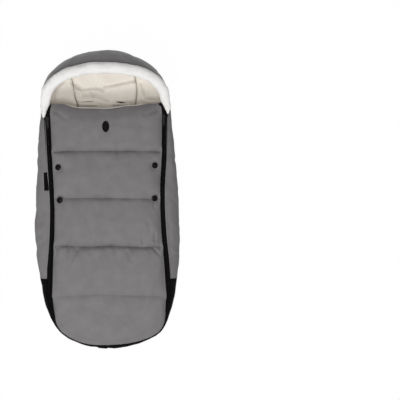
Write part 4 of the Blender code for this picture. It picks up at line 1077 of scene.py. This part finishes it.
def repeat(name, pattern, spots, across, along, up):
    """One piece from many copies of a small pattern, each with its own place and three directions."""
    base = points_of(pattern)
    turns = np.stack([across, along, up], axis=1)
    points = (np.einsum("vk,nkj->nvj", base, turns) + spots[:, None]).reshape(-1, 3)
    corners = [tuple(face.vertices) for face in pattern.data.polygons]
    faces = [[v + k * len(base) for v in face] for k in range(len(spots)) for face in corners]
    mesh = bpy.data.meshes.new(name)
    mesh.from_pydata(points.tolist(), [], faces)
    made = bpy.data.objects.new(name, mesh)
    bpy.context.scene.collection.objects.link(made)
    return made


def coil_path(name):
    """The middle line of a measured row of teeth and its way up at each rib."""
    guide = join_parts("guide", name)
    sew_up(guide)
    corners = points_of(guide)
    bpy.data.objects.remove(guide)
    path, ups = [], []
    for rib in rib_order(corners):
        ring = corners[rib]
        reach = np.linalg.norm(ring - ring[0], axis=1)
        up = ring[np.argsort(reach)[2]] - ring[0]
        path.append(ring.mean(0))
        ups.append(up * np.sign(up @ np.array([0, -0.3, 1])) / np.linalg.norm(up))
    return np.array(path), np.array(ups)


for side, sign in (("left", -1), ("right", 1)):
    for kind, stops in ROW_ENDS.items():
        path, ups = coil_path(f"{kind}_{side}")
        path = lean(np.vstack([path] + [[sign * x, y, path[-1, 2]] for x, y in stops]))
        ups = np.vstack([ups] + [ups[-1] for _ in stops])
        spots, heading, up = spaced_along(path, ups, TOOTH_STEP, 0.5 if kind == "zip_coil" else 0.05)
        out = np.cross(heading, up)
        facing = np.sign((out * np.array([away_from_middle(s) for s in spots])).sum(1))[:, None]
        if kind != "zip_coil":
            facing = -facing
        clear = (spots[:, 1] < 0.2462) | (spots[:, 1] > 0.2510) | (kind != "zip_coil")
        across = out * facing
        along = np.cross(up, across)
        row = repeat(f"{kind}_teeth_{side}", tooth, spots[clear], across[clear], along[clear], up[clear])
        dress(row, tooth_nylon, TAPE_BODIES[kind.split("_")[0]], f"{kind}_{side}", slot="zip_teeth", angle=30)
bpy.data.objects.remove(tooth)

# %% [markdown]
# Small patches of cloth: the tabs over the zips' lower ends, the web between them, and the tag in the seam.
# Each is a copy of its measured solid with rounded hems.

# %% Sew the small patches
# Each patch: its solid, the width of its printed size and the cloth that it is sewn to
PATCHES = {
    "toe_web_cloth": ("toe_web", 0.015, "foot_cloth"),
    "end_tab_cloth_left": ("zip_end_tab_left", 0.020, "foot_cloth"),
    "end_tab_cloth_right": ("zip_end_tab_right", 0.020, "foot_cloth"),
    "tag_cloth": ("side_tag", 0.015, "side_cloth_left"),
}
for name, (solid, width, under) in PATCHES.items():
    patch = cut_cloth(name, solid, levels=2, angle=70)
    if solid == "side_tag":
        points, outward = points_of(patch), normals_of(patch)
        points[:, :2] = np.array([-0.1780, 0.0562]) + (points[:, :2] - [-0.1788, 0.0504]) * (1.42, 1.0)
        for i, (spot, way) in enumerate(zip(points, outward)):
            hit, _ = drop_line(panel_trees["side_cloth_left"], *spot[:2])
            if hit is not None and spot[0] < -0.1755:
                points[i, 2] = hit.z + (0.0017 if way[2] > 0 else 0.0004)
        set_points(patch, points)
    dress(patch, black_cloth, "sack", solid, slot="black_fabric")
    declare_sheet(patch, width, "stretched", under)

# %% [markdown]
# The harness slots in the lining have rolled fleece lips. They nearly close the left slot and leave the right
# one a little open. A strip of dark brown sheet lies behind each. It is painted shadow, standing for the dark
# inside the slot.

# %% Roll the lips of the slots
# Where each slit opens: its two ends in plan and how far it gapes in the middle
SLITS = {
    "left": ((-0.0747, 0.2897), (-0.0287, 0.2915), 0.0019),
    "right": ((0.0306, 0.2888), (0.0620, 0.2843), 0.0044),
    "crotch": ((-0.020, None), (0.020, None), 0.0018),
}


def roll_lip(middle, length, outer_y, slit_y, gap, way):
    """One flattened roll of fleece between the slot's outer edge and the slit, which opens like a lens."""
    put_away()
    bpy.ops.mesh.primitive_cylinder_add(vertices=20, radius=0.5, depth=1, location=(0, 0, 0))
    lip = bpy.context.object
    lip.rotation_euler = (0, math.radians(90), 0)
    bpy.ops.object.transform_apply(rotation=True)
    set_mode("EDIT")
    bpy.ops.mesh.select_all(action="SELECT")
    bpy.ops.mesh.subdivide(number_cuts=7)
    set_mode("OBJECT")
    points = points_of(lip)
    x = middle[0] + points[:, 0] * length
    taper = np.sqrt(np.clip(1 - (2 * np.abs(points[:, 0])) ** 10, 0.02, 1))
    near = slit_y(x) + way * gap(x) / 2
    far = outer_y + way * 0.0015
    y = near + (far - near) * (0.5 + way * points[:, 1])
    ripple = 0.0003 * waves(np.column_stack([x, y, 0 * x]), 0.012, 80)
    z = middle[2] + 0.0002 + points[:, 2] * 0.0062 * taper + ripple
    set_points(lip, np.column_stack([x, y, z]))
    return lip


for word in ("left", "right", "crotch"):
    solid = f"slot_binding_{word}"
    low, high = [np.array(corner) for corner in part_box(solid)]
    middle = (low + high) / 2
    start, end, gape = SLITS[word]
    start_y, end_y = start[1] or middle[1], end[1] or middle[1]

    def slit_y(x):
        return np.interp(x, [start[0], end[0]], [start_y, end_y])

    def gap(x):
        t = np.clip((x - start[0]) / (end[0] - start[0]), 0, 1)
        return gape * np.sin(t * math.pi) ** 0.8 - 0.0004

    lips = [
        roll_lip(middle, high[0] - low[0] + 0.005, edge, slit_y, gap, way)
        for way, edge in ((-1, low[1]), (1, high[1]))
    ]
    put_away()
    for lip in lips:
        lip.select_set(True)
    bpy.context.view_layer.objects.active = lips[0]
    bpy.ops.object.join()
    pair = bpy.context.object
    pair.name = pair.data.name = f"slot_lips_{word}"
    dress(pair, cream_fleece, "sack", solid, slot="cream_fleece")

    # The sheet behind the slit is painted shadow: dark brown, where the slot's inside is only in shade
    put_away()
    bpy.ops.mesh.primitive_grid_add(x_subdivisions=14, y_subdivisions=8, size=1)
    facing = bpy.context.object
    facing.name = facing.data.name = f"slot_shadow_sheet_{word}"
    points = points_of(facing)
    points[:, 2] = 0.0085 - 0.0065 * np.abs(points[:, 1]) * 2
    points[:, :2] = middle[:2] + points[:, :2] * (0.046, 0.018)
    set_points(facing, points)
    use_modifier(facing, "SOLIDIFY", thickness=0.0010, offset=0)
    dress(facing, slit_painted_shadow, "sack", slot="grey_fabric")
    declare_sheet(facing, 0.018, "stretched", "back_cloth")

# %% [markdown]
# Seams are only believable with their thread. One short stitch is modelled and repeated along every seam,
# laid on the cloth by dropping a plumb line onto it. Quilt lines, hems beside the zips and the lining's
# seams are sewn this way.

# %% Model one stitch
put_away()
bpy.ops.mesh.primitive_uv_sphere_add(segments=8, ring_count=5, radius=0.5)
stitch = bpy.context.object
stitch.name = "stitch_pattern"
stitch.rotation_euler = (math.radians(90), 0, 0)
stitch.scale = (0.00055, 0.00050, 0.0024)
bpy.ops.object.transform_apply(rotation=True, scale=True)
print("stitch faces:", len(stitch.data.polygons))

# %% Sew the seams
STITCH_STEP = 0.0031
LINING_STITCH_STEP = 0.0022


def walk(line, pitch):
    """Evenly spaced places in plan along a drawn line."""
    line = np.array(line, float)
    knots = np.r_[0, np.cumsum(np.hypot(*np.diff(line, axis=0).T))]
    places = np.arange(pitch / 2, knots[-1], pitch)
    return np.column_stack([np.interp(places, knots, line[:, i]) for i in (0, 1)])


def sew_seam(name, rows, tree, finish, body, slot, sunk=0.00005, thick=1.0):
    """Stitches along rows of places in plan, each laid on the cloth that the tree holds."""
    spots, along, up = [], [], []
    for row in rows:
        hits = [drop_line(tree, x, y) for x, y in row]
        hits = [(spot, way) for spot, way in hits if spot is not None and way.z > 0.15]
        if len(hits) < 3:
            continue
        laid = np.array([tuple(spot - way * sunk) for spot, way in hits])
        normals = np.array([tuple(way) for _, way in hits])
        heading = np.gradient(laid, axis=0)
        near = np.linalg.norm(heading, axis=1) < 0.004
        heading /= np.linalg.norm(heading, axis=1)[:, None]
        normals -= (normals * heading).sum(1)[:, None] * heading
        normals /= np.linalg.norm(normals, axis=1)[:, None]
        spots.append(laid[near])
        along.append(heading[near])
        up.append(normals[near])
    spots, along, up = np.vstack(spots), np.vstack(along), np.vstack(up)
    seam = repeat(name, stitch, spots, np.cross(along, up) * thick, along, up * thick)
    dress(seam, finish, body, slot=slot)


def beside_teeth(kind, side, offset):
    """Places for a row of stitches this far outwards from a measured row of teeth."""
    path, _ = coil_path(f"{kind}_coil_{side}")
    moved = np.array([spot + offset * away_from_middle(spot) for spot in path])[:, :2]
    return [walk(moved, STITCH_STEP)]


quilt_rows = []
for (_, line, *_), far in zip(STITCH_LINES, (0.142, 0.158, 0.158, 0.156)):
    x = np.linspace(-far, far, 80)
    quilt_rows.append(walk(np.column_stack([x, height_on(line, x)]), STITCH_STEP))
sew_seam("cover_quilting", quilt_rows[:3], quilt_tree, seam_thread, "cover", "grey_fabric")
sew_seam("flap_quilting", quilt_rows[3:], quilt_tree, seam_thread, "flap", "grey_fabric")
for body in ("cover", "flap"):
    rows = beside_teeth(body, "left", -0.0098) + beside_teeth(body, "right", -0.0098)
    sew_seam(f"{body}_hem_stitches", rows, quilt_tree, seam_thread, body, "grey_fabric")
for side in ("left", "right"):
    rows, side_tree = beside_teeth("zip", side, 0.0088), panel_trees[f"side_cloth_{side}"]
    sew_seam(f"zip_{side}_hem_stitches", rows, side_tree, seam_thread, "sack", "grey_fabric")
lining_rows = [walk(seam, LINING_STITCH_STEP) for seam in seams]
lining_rows = [row[(row[:, 1] > 0.2) & (row[:, 1] < 0.37)] for row in lining_rows]
# The lining's stitches are dark and twice as thick, so that they also paint the shade of the seam's groove
sew_seam("lining_stitches", lining_rows, fleece_tree, lining_thread_and_seam_shade, "sack", "cream_fleece", -0.0001, 2.0)
bpy.data.objects.remove(stitch)

# %% [markdown]
# The snaps get larger copies as caps. The remaining solids have their real shape already, so they keep it
# and only take a finish.

# %% Press on the snaps
# The snaps' caps look wider in the photograph than the measured ones, so they are drawn this much larger
CAP_GROWTH, CAP_LIFT = (1.2, 1.2, 1.15), (0, 0, 0.0004)
for name, body in (("snap_stud", "flap"), ("snap_socket", "cover")):
    for side in ("left", "right"):
        cap = join_parts(f"{name}_cap_{side}", f"{name}_{side}")
        sew_up(cap)
        points = points_of(cap)
        middle = (points.max(0) + points.min(0)) / 2
        set_points(cap, middle + (points - middle) * CAP_GROWTH + CAP_LIFT)
        dress(cap, black_snap, body, f"{name}_{side}", slot="black_snap")

# %% Finish the small pieces
FINISHES = {"black_metal": black_metal, "black_snap": black_snap}
slots = {row["node"]: row["material_slot"] for row in frame["record"]["subparts"]}
for name, solid in parts.items():
    if not solid.hide_render:
        solid.data.materials.clear()
        solid.data.materials.append(black_badge if name == "badge" else FINISHES[slots[name]])
